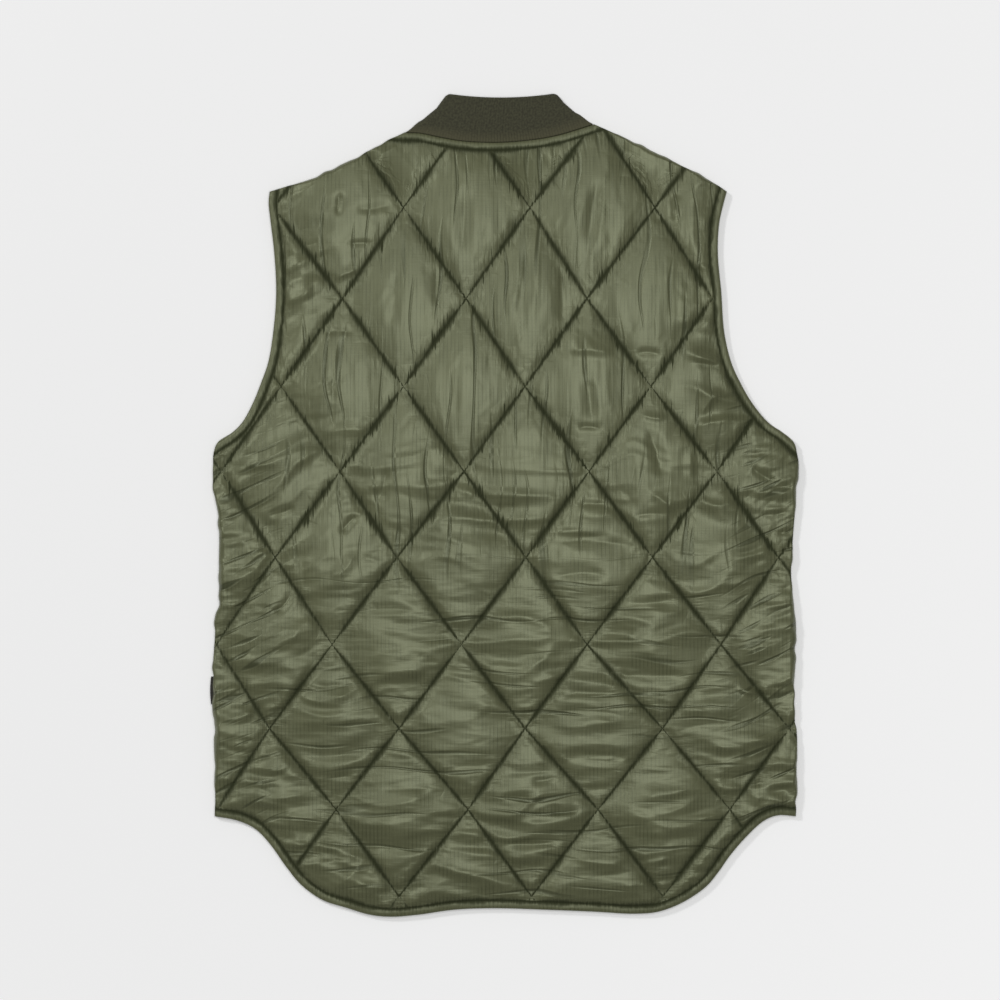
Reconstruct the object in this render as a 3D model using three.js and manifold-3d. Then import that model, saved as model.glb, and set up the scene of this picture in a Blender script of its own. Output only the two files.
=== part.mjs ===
// Diamond-quilted vest with a rib-knit stand collar, laid flat with its back up.
// Millimetres. X runs across the back, +Y towards the collar, and +Z up from the surface that it lies on.
import * as THREE from "three";
import { mergeVertices } from "three/addons/utils/BufferGeometryUtils.js";
import Module from "manifold-3d";

// Layers, measured up from the surface
const FRONT_TOP = 5;
const SEAM_GAP = 0.3;
const BACK_INSIDE = FRONT_TOP + SEAM_GAP;

// Padding of the back: the wall at a quilting seam, and the rise of a diamond's middle above it
const WALL = 2;
const PUFF_RISE = 6.5;
const PUFF_REACH = 50;
const PUFF_POWER = 0.62;

// Turned and topstitched edge at the armholes, hem and neck
const BAND_WIDTH = 10;
const BAND_RISE = 1.3;
const BAND_FADE = 30;
const BAND_FADE_POWER = 0.7;
const GROOVE_HALF = 0.8;
const RIM_RISE = 0.8;
const RIM_DEPTH = 1.5;

// Rolled edge at the side and shoulder seams
const ROLL_REACH = 18;

// Front panels
const FRONT_CHAMFER = 2;
const FRONT_HEM_INSET = 2;
const FRONT_ARMHOLE_INSET = 3;
const PLACKET_HALF = 15;
const PLACKET_SPLIT = FRONT_TOP / 2;

// Collar: two layers of rib joined by a rolled fold at each side
const COLLAR_WALL = 3;
const COLLAR_TOP = BACK_INSIDE + COLLAR_WALL;
const ROLL_CENTRE = COLLAR_TOP / 2;
const COLLAR_RIBS = 62;
const FOLD_RIBS = 4;
const RIB_RISE = 0.35;
const COLLAR_SEAM_GAP = 0.5;
const COLLAR_TOP_SAG = 3.5;
const COLLAR_EDGE_ROUND = 0.8;
const COLLAR_END_GAP = 0.5;
const FRONT_STATIONS = 10;

// Snap fasteners down the centre front
const SNAP_COUNT = 6;
const SNAP_HIGH = 268;
const SNAP_LOW = -372;
const SNAP_CAP_RADIUS = 7.5;
const SNAP_CAP_DEPTH = 1.2;
const SNAP_STEM_RADIUS = 2.5;
const SNAP_BACK_RADIUS = 6;
const SNAP_SIDES = 16;

// Small folded tab in the left side seam
const TAB_OUT = -295;
const TAB_IN = -285;
const TAB_HIGH = -172;
const TAB_LOW = -200;
const TAB_THICK = 1;

// Spacing of the points along an outline, and how far inside it the seams and the diamonds have points
const STEP = 12;
const SEAMS_START = BAND_WIDTH + 2;
const CELLS_START = BAND_WIDTH + 9;

// Armhole and side: how far out the left and right edges lie at each height, from the shoulder tip down
const ARMHOLE = [
  { y: 313, left: -235.5, right: 222 },
  { y: 302, left: -236.5, right: 219 },
  { y: 282, left: -234.5, right: 214.5 },
  { y: 252, left: -231, right: 213 },
  { y: 212, left: -229, right: 216.5 },
  { y: 172, left: -232, right: 219.5 },
  { y: 142, left: -237, right: 226.5 },
  { y: 122, left: -244, right: 235.5 },
  { y: 102, left: -252, right: 247 },
  { y: 82, left: -263, right: 263.5 },
  { y: 72, left: -273, right: 278 },
  { y: 62, left: -287.5, right: 289 },
  { y: 52, left: -291.5, right: 292 },
];
const SIDE = [
  { y: 52, left: -291.5, right: 292 },
  { y: 42, left: -292.5, right: 293.5 },
  { y: 12, left: -292, right: 291.5 },
  { y: -17, left: -287, right: 290 },
  { y: -67, left: -286.5, right: 286.5 },
  { y: -97, left: -286, right: 289 },
  { y: -117, left: -290, right: 291 },
  { y: -147, left: -292, right: 290.5 },
  { y: -187, left: -292.5, right: 290 },
  { y: -227, left: -291, right: 291 },
  { y: -277, left: -290, right: 292.5 },
  { y: -312, left: -290.5, right: 291 },
];

// Shoulder seam, from the neck out to the tip
const SHOULDER = [
  { along: 0, leftY: 372.5, rightY: 380.5 },
  { along: 0.17, leftY: 361, rightY: 370.5 },
  { along: 0.35, leftY: 347, rightY: 359.5 },
  { along: 0.53, leftY: 336, rightY: 347.5 },
  { along: 0.7, leftY: 326, rightY: 336.5 },
  { along: 0.88, leftY: 318, rightY: 324 },
  { along: 1, leftY: 313, rightY: 313 },
];
const NECK_LEFT = -100;
const NECK_RIGHT = 89;

// Back neck seam, from left to right
const NECK = [
  { x: -100, y: 372 },
  { x: -85, y: 371.5 },
  { x: -65, y: 367.5 },
  { x: -45, y: 364 },
  { x: -25, y: 362.5 },
  { x: 0, y: 362.5 },
  { x: 35, y: 366 },
  { x: 55, y: 370 },
  { x: 75, y: 376 },
  { x: 89, y: 380.5 },
];

// Shirt-tail hem, from the left corner to the right corner
const HEM = [
  { x: -290.5, y: -312 },
  { x: -267, y: -316.5 },
  { x: -250, y: -324.5 },
  { x: -235, y: -340 },
  { x: -219, y: -362.5 },
  { x: -204, y: -380.5 },
  { x: -183, y: -395.5 },
  { x: -159, y: -403.5 },
  { x: -135, y: -410.5 },
  { x: -115, y: -412.5 },
  { x: -87, y: -410.5 },
  { x: -51, y: -405.5 },
  { x: -10, y: -404 },
  { x: 40, y: -405.5 },
  { x: 90, y: -407.5 },
  { x: 129, y: -409.5 },
  { x: 153, y: -407.5 },
  { x: 177, y: -398.5 },
  { x: 201, y: -382.5 },
  { x: 213, y: -368.5 },
  { x: 225, y: -351.5 },
  { x: 240, y: -334 },
  { x: 259, y: -316.5 },
  { x: 273, y: -311 },
  { x: 291, y: -312 },
];

// Where the quilting seams cross: a row for each height, with the crossings from left to right.
// The first and last ones lie off the panel and only give the seams their direction.
const CROSSINGS = [
  { y: 386, x: [-413, -288, -164, -38, 92, 217, 342] },
  { y: 297, x: [-351, -232, -101.5, 25, 150, 272, 400] },
  { y: 206, x: [-413, -287, -162.5, -39, 82, 207.5, 335] },
  { y: 118, x: [-346, -224, -101.5, 20, 146, 270, 398] },
  { y: 33, x: [-408, -284, -165, -41, 84, 212, 337] },
  { y: -53, x: [-352, -230, -108, 21, 147.5, 273.5, 400] },
  { y: -140, x: [-413, -289, -173, -43.5, 82, 216, 343] },
  { y: -224, x: [-352, -235.5, -106, 20, 157.5, 284, 410] },
  { y: -305, x: [-415, -288, -169, -37, 93, 225, 352] },
  { y: -392, x: [-355, -230, -106, 26.5, 158, 285, 410] },
  { y: -479, x: [-420, -295, -170, -40, 92, 222, 352] },
];
// Places of the mesh's points across one diamond, closer together beside its seams
const CELL_PLACES = [0, 0.075, 0.22, 0.41, 0.59, 0.78, 0.925];

// Places of the points along a seam where it nears an edge
const SEAM_PLACES = Array.from({ length: 20 }, (_, index) => index / 20);

// Lines that the collar folds on, from the neck seam up to its top edge
const COLLAR_FOLD = [
  { up: 0, leftX: -97, leftY: 372.3, rightX: 83.5, rightY: 379.5 },
  { up: 0.33, leftX: -80, leftY: 381.8, rightX: 67.5, rightY: 389.2 },
  { up: 0.66, leftX: -65, leftY: 394.5, rightX: 55.5, rightY: 399.8 },
  { up: 1, leftX: -54, leftY: 410.5, rightX: 47.5, rightY: 410.8 },
];
// The fold bulges out in this direction at the neck seam, and straight sideways at the top edge
const FOLD_LEAN = 55;

// Front neckline and the front collar's top edge, each a curve from the fold to the centre front
const FRONT_NECK_DROP = 296;
const FRONT_NECK_PULL = { x: 88, y: 302 };
const FRONT_COLLAR_TOP = 346;
const FRONT_COLLAR_PULL = { x: 50, y: 350 };

const NYLON = { color: 0x5f624d, roughness: 0.45, metalness: 0 };
const RIB_KNIT = { color: 0x3e3e32, roughness: 0.95, metalness: 0 };
const TAB_CLOTH = { color: 0x34332e, roughness: 0.8, metalness: 0 };
const SNAP_METAL = { color: 0x3a3b36, roughness: 0.4, metalness: 0.8 };

const { lerp, clamp, degToRad } = THREE.MathUtils;

const wasm = await Module();
wasm.setup();

// Solid that manifold-3d can cut, from a closed geometry
function solidFrom(geometry) {
  geometry.deleteAttribute("normal");
  geometry.deleteAttribute("uv");
  const merged = mergeVertices(geometry, 1e-3);
  return new wasm.Manifold(
    new wasm.Mesh({
      numProp: 3,
      vertProperties: merged.attributes.position.array,
      triVerts: new Uint32Array(merged.index.array),
    }),
  );
}

// Geometry with the vertices and triangles of a solid
function geometryFrom(solid) {
  const cut = solid.getMesh();
  const geometry = new THREE.BufferGeometry();
  geometry.setAttribute("position", new THREE.BufferAttribute(cut.vertProperties, 3));
  geometry.setIndex(new THREE.BufferAttribute(cut.triVerts, 1));
  return geometry;
}

// Geometry from a list of [x, y, z] points and a list of index triples
function geometryOf(points, triangles) {
  const geometry = new THREE.BufferGeometry();
  geometry.setAttribute("position", new THREE.Float32BufferAttribute(points.flat(), 3));
  geometry.setIndex(triangles.flat());
  return geometry;
}

// Box between two corners
function boxBetween(low, high) {
  const size = high.map((value, axis) => value - low[axis]);
  const middle = high.map((value, axis) => (value + low[axis]) / 2);
  return new THREE.BoxGeometry(...size).translate(...middle);
}

// Smooth curve through the [x, y] rows of a table, as evenly spaced points with both ends
function curveThrough(rows) {
  const knots = rows.map(([x, y]) => new THREE.Vector3(x, y, 0));
  const curve = new THREE.CatmullRomCurve3(knots, false, "centripetal");
  const count = Math.max(2, Math.round(curve.getLength() / STEP));
  return curve.getSpacedPoints(count).map((point) => [point.x, point.y]);
}

const HEM_EDGE = curveThrough(HEM.map((row) => [row.x, row.y]));
const NECK_EDGE = curveThrough(NECK.map((row) => [row.x, row.y]));
const LEFT_ARMHOLE = curveThrough(ARMHOLE.map((row) => [row.left, row.y]));
const RIGHT_ARMHOLE = curveThrough(ARMHOLE.map((row) => [row.right, row.y]));
const LEFT_SIDE = curveThrough(SIDE.map((row) => [row.left, row.y]));
const RIGHT_SIDE = curveThrough(SIDE.map((row) => [row.right, row.y]));
const LEFT_SHOULDER = curveThrough(
  SHOULDER.map((row) => [lerp(NECK_LEFT, ARMHOLE[0].left, row.along), row.leftY]),
);
const RIGHT_SHOULDER = curveThrough(
  SHOULDER.map((row) => [lerp(NECK_RIGHT, ARMHOLE[0].right, row.along), row.rightY]),
);

// Height of a left-to-right polyline at x
function heightAt(line, x) {
  const index = clamp(line.findIndex((point) => point[0] > x), 1, line.length - 1);
  const [from, to] = [line[index - 1], line[index]];
  return lerp(from[1], to[1], (x - from[0]) / (to[0] - from[0]));
}

// Pairs of neighbouring points of a polyline
function segmentsOf(line) {
  return line.slice(1).map((point, index) => [line[index], point]);
}

// Shortest distance from a point to any of the segments
function distanceTo(segments, [x, y]) {
  let best = Infinity;
  for (const [[ax, ay], [bx, by]] of segments) {
    const [dx, dy] = [bx - ax, by - ay];
    const along = clamp(((x - ax) * dx + (y - ay) * dy) / (dx * dx + dy * dy), 0, 1);
    best = Math.min(best, Math.hypot(ax + along * dx - x, ay + along * dy - y));
  }
  return best;
}

// Whether a point lies inside a closed outline
function isInside(outline, [x, y]) {
  let inside = false;
  outline.forEach(([ax, ay], index) => {
    const [bx, by] = outline[(index + 1) % outline.length];
    const crosses = ay > y !== by > y && x < ax + ((bx - ax) * (y - ay)) / (by - ay);
    if (crosses) inside = !inside;
  });
  return inside;
}

// Joins edges end to end into one closed outline, with no point twice
function joinEdges(...edges) {
  const points = edges.flat();
  return points.filter(([x, y], index) => {
    const [nextX, nextY] = points[(index + 1) % points.length];
    return Math.hypot(nextX - x, nextY - y) > 1;
  });
}

// Points at one depth inside an outline, leaving out those that a corner brings closer to its edge
function insetPoints(outline, depth) {
  const segments = segmentsOf([...outline, outline[0]]);
  const count = outline.length;
  return outline
    .map(([x, y], index) => {
      const [beforeX, beforeY] = outline[(index + count - 1) % count];
      const [afterX, afterY] = outline[(index + 1) % count];
      const length = Math.hypot(afterX - beforeX, afterY - beforeY);
      return [
        x - (depth * (afterY - beforeY)) / length,
        y + (depth * (afterX - beforeX)) / length,
      ];
    })
    .filter((point) => distanceTo(segments, point) > depth * 0.98 - 0.02 && isInside(outline, point));
}

// Delaunay triangles of points in the plane, as anticlockwise index triples.
// A tiny fixed nudge of each point settles the ties between points on one circle.
function triangulate(points) {
  const far = 1e5;
  const nudged = points.map(([x, y], index) => [
    x + 1e-3 * Math.sin(index * 12.9898),
    y + 1e-3 * Math.sin(index * 78.233),
  ]);
  const all = [...nudged, [-far, -far], [far, -far], [0, far]];
  const withCircle = (a, b, c) => {
    const [ax, ay] = all[a];
    const [bx, by] = [all[b][0] - ax, all[b][1] - ay];
    const [cx, cy] = [all[c][0] - ax, all[c][1] - ay];
    const double = 2 * (bx * cy - by * cx);
    const ux = (cy * (bx * bx + by * by) - by * (cx * cx + cy * cy)) / double;
    const uy = (bx * (cx * cx + cy * cy) - cx * (bx * bx + by * by)) / double;
    return { corners: [a, b, c], x: ax + ux, y: ay + uy, reach: Math.hypot(ux, uy) };
  };
  const count = points.length;
  let triangles = [withCircle(count, count + 1, count + 2)];
  nudged.forEach(([x, y], index) => {
    const open = new Map();
    triangles = triangles.filter((triangle) => {
      if (Math.hypot(triangle.x - x, triangle.y - y) >= triangle.reach) return true;
      const [a, b, c] = triangle.corners;
      for (const [from, to] of [[a, b], [b, c], [c, a]]) {
        if (!open.delete(to + "," + from)) open.set(from + "," + to, [from, to]);
      }
      return false;
    });
    for (const [from, to] of open.values()) triangles.push(withCircle(from, to, index));
  });
  return triangles.map((triangle) => triangle.corners).filter((ids) => Math.max(...ids) < count);
}

// One face of a panel: the outline's points first, then its inner points, each raised to a height
function faceOf(outline, inner, height) {
  const flat = [...outline, ...inner];
  const triangles = triangulate(flat).filter((ids) => {
    const x = ids.reduce((sum, id) => sum + flat[id][0], 0) / 3;
    const y = ids.reduce((sum, id) => sum + flat[id][1], 0) / 3;
    return isInside(outline, [x, y]);
  });
  return { points: flat.map(([x, y]) => [x, y, height([x, y])]), triangles };
}

// Closed panel between an upper and a lower face that share an outline
function panelBetween(outline, upper, lower) {
  const start = upper.points.length;
  const count = outline.length;
  const triangles = [...upper.triangles];
  for (const [a, b, c] of lower.triangles) triangles.push([start + a, start + c, start + b]);
  for (let index = 0; index < count; index += 1) {
    const next = (index + 1) % count;
    triangles.push([index, start + index, start + next], [index, start + next, next]);
  }
  return geometryOf([...upper.points, ...lower.points], triangles);
}

// Crossing of seam number i of the family that falls to the right with number j of the other family
function crossingAt(i, j) {
  const row = CROSSINGS[i + j];
  const column = Math.floor((i - j) / 2) + 3;
  return row && row.x[column] !== undefined ? [row.x[column], row.y] : null;
}

// Seams of both families, and the four crossings round each diamond
function quilting() {
  const falling = [];
  const rising = [];
  const diamonds = [];
  const reach = CROSSINGS.length;
  for (let i = -reach; i <= reach; i += 1) {
    for (let j = -reach; j <= reach; j += 1) {
      const [top, right] = [crossingAt(i, j), crossingAt(i + 1, j)];
      const [left, bottom] = [crossingAt(i, j + 1), crossingAt(i + 1, j + 1)];
      if (top && right) falling.push([top, right]);
      if (top && left) rising.push([top, left]);
      if (top && right && left && bottom) diamonds.push({ top, right, left, bottom });
    }
  }
  return { falling, rising, diamonds };
}

// Share of the full puff at a distance from a seam, steep beside it and level half-way to the next one
function puffShare(distance) {
  const place = clamp(distance / PUFF_REACH, 0, 1);
  return (1 - (1 - place) ** 2) ** PUFF_POWER;
}

// Back panel: a plain inside, and an outer face with the diamonds, turned edges and rolled seams
function backPanel() {
  const outline = joinEdges(
    HEM_EDGE,
    [...RIGHT_SIDE].reverse(),
    [...RIGHT_ARMHOLE].reverse(),
    [...RIGHT_SHOULDER].reverse(),
    [...NECK_EDGE].reverse(),
    LEFT_SHOULDER,
    LEFT_ARMHOLE,
    LEFT_SIDE,
  );
  const turned = [HEM_EDGE, NECK_EDGE, LEFT_ARMHOLE, RIGHT_ARMHOLE].flatMap(segmentsOf);
  const rolled = [LEFT_SIDE, RIGHT_SIDE, LEFT_SHOULDER, RIGHT_SHOULDER].flatMap(segmentsOf);
  const { falling, rising, diamonds } = quilting();

  const rise = (point) => {
    const puff = puffShare(distanceTo(falling, point)) * puffShare(distanceTo(rising, point));
    const fromTurned = distanceTo(turned, point);
    const fromRolled = distanceTo(rolled, point);
    const across = clamp(fromTurned / BAND_WIDTH, 0, 1);
    const band = BAND_RISE * Math.sqrt(1 - (2 * across - 1) ** 2);
    const fade = clamp((fromTurned - BAND_WIDTH) / BAND_FADE, 0, 1) ** BAND_FADE_POWER;
    const padding = PUFF_RISE * Math.min(puff, fade);
    const roll = Math.sqrt(1 - (1 - clamp(fromRolled / ROLL_REACH, 0, 1)) ** 2);
    return Math.min(
      WALL + (fromTurned < BAND_WIDTH ? band : padding),
      lerp(RIM_RISE, WALL + PUFF_RISE, roll),
      RIM_RISE + fromTurned,
    );
  };

  const segments = segmentsOf([...outline, outline[0]]);
  const ringDepths = [RIM_DEPTH, BAND_WIDTH / 2, BAND_WIDTH - GROOVE_HALF, BAND_WIDTH + GROOVE_HALF];
  const rings = ringDepths.flatMap((depth) => insetPoints(outline, depth));
  const cells = diamonds.flatMap(({ top, right, left, bottom }) =>
    CELL_PLACES.flatMap((s) =>
      CELL_PLACES.map((t) => [
        lerp(lerp(top[0], right[0], s), lerp(left[0], bottom[0], s), t),
        lerp(lerp(top[1], right[1], s), lerp(left[1], bottom[1], s), t),
      ]),
    ),
  );
  const alongSeams = [...falling, ...rising].flatMap(([from, to]) =>
    SEAM_PLACES.map((part) => [lerp(from[0], to[0], part), lerp(from[1], to[1], part)]),
  );
  const depthOf = (point) => (isInside(outline, point) ? distanceTo(segments, point) : 0);
  const inner = [
    ...cells.filter((point) => depthOf(point) > CELLS_START),
    ...alongSeams.filter((point) => depthOf(point) > SEAMS_START && depthOf(point) <= CELLS_START),
  ];
  const upper = faceOf(outline, [...rings, ...inner], (point) => BACK_INSIDE + rise(point));
  const lower = faceOf(outline, [], () => BACK_INSIDE);
  const tabSlot = boxBetween(
    [TAB_OUT - 1, TAB_LOW - SEAM_GAP, 0],
    [TAB_IN + SEAM_GAP, TAB_HIGH + SEAM_GAP, BACK_INSIDE + TAB_THICK + SEAM_GAP],
  );
  return geometryFrom(solidFrom(panelBetween(outline, upper, lower)).subtract(solidFrom(tabSlot)));
}

// Edge moved inwards by a depth that fades out at both ends, where it meets a seam
function easedIn(edge, depth, centreSide) {
  return edge.map(([x, y], index) => {
    const [beforeX, beforeY] = edge[Math.max(index - 1, 0)];
    const [afterX, afterY] = edge[Math.min(index + 1, edge.length - 1)];
    const length = Math.hypot(afterX - beforeX, afterY - beforeY);
    const ease = Math.min(1, index / 3, (edge.length - 1 - index) / 3) * depth * centreSide;
    return [x - (ease * (afterY - beforeY)) / length, y + (ease * (afterX - beforeX)) / length];
  });
}

// Front neckline on one side, from the collar's fold to the centre front, shifted down by a gap
function frontNeckline(side, gap) {
  const start = side < 0 ? [NECK_LEFT, NECK[0].y] : [NECK_RIGHT, NECK[NECK.length - 1].y];
  return new THREE.QuadraticBezierCurve(
    new THREE.Vector2(start[0], start[1] - gap),
    new THREE.Vector2(side * (FRONT_NECK_PULL.x + gap), FRONT_NECK_PULL.y - gap),
    new THREE.Vector2(side * COLLAR_END_GAP, FRONT_NECK_DROP - gap),
  );
}

// Slab of a front panel, with its outer and inner faces chamfered all round
function frontSlab(outline) {
  const ring = insetPoints(outline, FRONT_CHAMFER);
  const segments = segmentsOf([...outline, outline[0]]);
  const nearEdge = (point) => distanceTo(segments, point) < FRONT_CHAMFER / 2;
  const upper = faceOf(outline, ring, (point) => FRONT_TOP - (nearEdge(point) ? FRONT_CHAMFER / 2 : 0));
  const lower = faceOf(outline, ring, (point) => (nearEdge(point) ? FRONT_CHAMFER / 2 : 0));
  return solidFrom(panelBetween(outline, upper, lower));
}

// Pocket through both plackets that a snap sits in, with a gap all round
function snapSolid(y, gap) {
  const profile = [
    [0, -gap],
    [SNAP_CAP_RADIUS + gap, -gap],
    [SNAP_CAP_RADIUS + gap, SNAP_CAP_DEPTH + gap],
    [SNAP_STEM_RADIUS + gap, SNAP_CAP_DEPTH + gap],
    [SNAP_STEM_RADIUS + gap, FRONT_TOP - SNAP_CAP_DEPTH - gap],
    [SNAP_BACK_RADIUS + gap, FRONT_TOP - SNAP_CAP_DEPTH - gap],
    [SNAP_BACK_RADIUS + gap, FRONT_TOP + gap],
    [0, FRONT_TOP + gap],
  ];
  const points = profile.map(([radius, height]) => new THREE.Vector2(radius, height));
  const turned = new THREE.LatheGeometry(points, SNAP_SIDES);
  return turned.rotateX(Math.PI / 2).translate(0, y, 0);
}

// Heights of the snaps, from the neck down
function snapHeights() {
  return Array.from({ length: SNAP_COUNT }, (_, index) =>
    lerp(SNAP_HIGH, SNAP_LOW, index / (SNAP_COUNT - 1)),
  );
}

// Front panel on one side: -1 is the left one, whose placket lies outside, below the right one's
function frontPanel(side) {
  const isLeft = side < 0;
  const hem = easedIn(HEM_EDGE, FRONT_HEM_INSET, 1);
  const hemEnd = [side * -PLACKET_HALF, heightAt(hem, side * -PLACKET_HALF)];
  const hemPart = hem.filter(([x]) => (x - hemEnd[0]) * side > STEP / 2);
  const neckline = frontNeckline(side, SEAM_GAP).getSpacedPoints(14).map((point) => [point.x, point.y]);
  const neckEnd = [side * -PLACKET_HALF, FRONT_NECK_DROP - SEAM_GAP];
  const armhole = isLeft ? LEFT_ARMHOLE : RIGHT_ARMHOLE;
  const armholeIn = easedIn(armhole, FRONT_ARMHOLE_INSET, -side);
  const shoulder = isLeft ? LEFT_SHOULDER : RIGHT_SHOULDER;
  const seam = isLeft ? LEFT_SIDE : RIGHT_SIDE;
  const centre = curveThrough([hemEnd, neckEnd]);
  const outline = isLeft
    ? joinEdges(hemPart, centre, [...neckline].reverse(), shoulder.slice(1), armholeIn, seam)
    : joinEdges(
        hemPart,
        [...seam].reverse(),
        [...armholeIn].reverse(),
        [...shoulder].reverse(),
        neckline.slice(1),
        [...centre].reverse(),
      );
  const edge = PLACKET_HALF + SEAM_GAP;
  const low = isLeft ? PLACKET_SPLIT - SEAM_GAP / 2 : -1;
  const high = isLeft ? FRONT_TOP + 1 : PLACKET_SPLIT + SEAM_GAP / 2;
  let solid = frontSlab(outline).subtract(solidFrom(boxBetween([-edge, -500, low], [edge, 500, high])));
  for (const y of snapHeights()) solid = solid.subtract(solidFrom(snapSolid(y, SEAM_GAP)));
  return geometryFrom(solid);
}

// Point on a collar fold line, at a share of the way up from the neck seam
function foldPoint(side, up) {
  const index = clamp(COLLAR_FOLD.findIndex((row) => row.up >= up), 1, COLLAR_FOLD.length - 1);
  const [from, to] = [COLLAR_FOLD[index - 1], COLLAR_FOLD[index]];
  const part = (up - from.up) / (to.up - from.up);
  return side < 0
    ? [lerp(from.leftX, to.leftX, part), lerp(from.leftY, to.leftY, part)]
    : [lerp(from.rightX, to.rightX, part), lerp(from.rightY, to.rightY, part)];
}

// Point on the collar's back layer, across from the left fold to the right and up from the neck seam
function collarBackPoint(across, up) {
  const [left, right] = [foldPoint(-1, up), foldPoint(1, up)];
  const x = lerp(left[0], right[0], across);
  const seamLine = lerp(foldPoint(-1, 0)[1], foldPoint(1, 0)[1], across);
  const seamX = lerp(foldPoint(-1, 0)[0], foldPoint(1, 0)[0], across);
  const seamSag = heightAt(NECK_EDGE, seamX) + COLLAR_SEAM_GAP - seamLine;
  const topSag = -COLLAR_TOP_SAG * 4 * across * (1 - across);
  return [x, lerp(left[1], right[1], across) + lerp(seamSag, topSag, up)];
}

// Point on one of the collar's front layers, along from the fold to the centre front
function collarFrontPoint(side, along, up) {
  const fold = foldPoint(side, up);
  const pullX = side * lerp(FRONT_NECK_PULL.x, FRONT_COLLAR_PULL.x, up);
  const pullY = lerp(FRONT_NECK_PULL.y, FRONT_COLLAR_PULL.y, up);
  const end = [side * COLLAR_END_GAP, lerp(FRONT_NECK_DROP, FRONT_COLLAR_TOP, up)];
  const curve = new THREE.QuadraticBezierCurve(
    new THREE.Vector2(...fold),
    new THREE.Vector2(pullX, pullY),
    new THREE.Vector2(...end),
  );
  const point = curve.getPoint(along);
  return [point.x, point.y];
}

// Stations along the collar, from the left end at the centre front, round the back, to the right end.
// turn is 90 degrees on the back layer, which lies on top, and -90 on the front layers below it.
function collarStations() {
  const stations = [];
  const front = (side, along) =>
    stations.push({ side, turn: -90, ribbed: false, at: (up) => collarFrontPoint(side, along, up) });
  const fold = (side, turn, ribbed) =>
    stations.push({ side, turn, ribbed, at: (up) => foldPoint(side, up) });
  for (let step = FRONT_STATIONS; step > 0; step -= 1) front(-1, step / FRONT_STATIONS);
  const foldSteps = FOLD_RIBS * 2;
  for (let step = 0; step < foldSteps; step += 1) {
    fold(-1, lerp(-90, 90, step / foldSteps), step > 1 && step % 2 === 1);
  }
  const backSteps = COLLAR_RIBS * 2;
  for (let step = 0; step <= backSteps; step += 1) {
    const across = step / backSteps;
    stations.push({ side: 0, turn: 90, ribbed: step % 2 === 1, at: (up) => collarBackPoint(across, up) });
  }
  for (let step = foldSteps - 1; step >= 0; step -= 1) {
    fold(1, lerp(-90, 90, step / foldSteps), step > 1 && step % 2 === 1);
  }
  for (let step = 1; step <= FRONT_STATIONS; step += 1) front(1, step / FRONT_STATIONS);
  return stations;
}

// Point of the collar at a station, a share of the way up and at a distance from the middle of the roll
function collarPoint(station, up, distance) {
  const [x, y] = station.at(up);
  const lean = degToRad(lerp(FOLD_LEAN, 0, up ** 2));
  const turn = degToRad(station.turn);
  const out = distance * Math.cos(turn);
  return [
    x + station.side * Math.cos(lean) * out,
    y + Math.sin(lean) * out,
    ROLL_CENTRE + distance * Math.sin(turn),
  ];
}

// Collar: one closed band of rib, with its ribs raised where it shows
function collar() {
  const outerReach = COLLAR_TOP / 2;
  const innerReach = outerReach - COLLAR_WALL;
  const points = [];
  const stations = collarStations();
  const ups = COLLAR_FOLD.map((row) => row.up);
  for (const station of stations) {
    const reach = outerReach + (station.ribbed ? RIB_RISE : 0);
    for (const up of ups) points.push(collarPoint(station, up, reach));
    const edge = collarPoint(station, 1, (outerReach + innerReach) / 2);
    points.push([edge[0], edge[1] + COLLAR_EDGE_ROUND, edge[2]]);
    for (const up of [...ups].reverse()) points.push(collarPoint(station, up, innerReach));
  }
  const ring = ups.length * 2 + 1;
  const triangles = [];
  for (let index = 0; index + 1 < stations.length; index += 1) {
    for (let place = 0; place < ring; place += 1) {
      const [a, b] = [index * ring + place, index * ring + ((place + 1) % ring)];
      triangles.push([a, a + ring, b + ring], [a, b + ring, b]);
    }
  }
  const last = (stations.length - 1) * ring;
  for (let place = 1; place + 1 < ring; place += 1) {
    triangles.push([0, place, place + 1], [last, last + place + 1, last + place]);
  }
  return geometryOf(points, triangles);
}

// Side tab: a little folded strip held in the left side seam
function sideTab() {
  const outline = new THREE.Shape();
  const bow = 1;
  outline.moveTo(TAB_IN, TAB_LOW);
  outline.lineTo(TAB_IN, TAB_HIGH);
  outline.lineTo(TAB_OUT + bow, TAB_HIGH);
  outline.quadraticCurveTo(TAB_OUT - bow, (TAB_HIGH + TAB_LOW) / 2, TAB_OUT + bow, TAB_LOW);
  outline.closePath();
  const strip = new THREE.ExtrudeGeometry(outline, {
    depth: TAB_THICK - SEAM_GAP,
    bevelEnabled: false,
    curveSegments: 8,
  });
  return strip.translate(0, 0, BACK_INSIDE + SEAM_GAP);
}

const vest = new THREE.Group();

// Adds one named piece with its own material
function addPiece(name, geometry, look) {
  const mesh = new THREE.Mesh(geometry, new THREE.MeshStandardMaterial(look));
  mesh.name = name;
  vest.add(mesh);
}

addPiece("back_panel", backPanel(), NYLON);
addPiece("front_left", frontPanel(-1), NYLON);
addPiece("front_right", frontPanel(1), NYLON);
addPiece("collar", collar(), RIB_KNIT);
addPiece("side_tab", sideTab(), TAB_CLOTH);
snapHeights().forEach((y, index) => addPiece("snap_" + (index + 1), snapSolid(y, 0), SNAP_METAL));

export default vest;
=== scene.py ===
# Diamond-quilted vest with a rib-knit stand collar, laid flat with its back up.
# Lengths are in millimetres until a mesh is made. X runs across the back, +Y towards the collar, +Z up.
import math

import bpy
import numpy as np
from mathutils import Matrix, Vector
from mathutils.geometry import delaunay_2d_cdt
from mathutils.kdtree import KDTree


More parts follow.
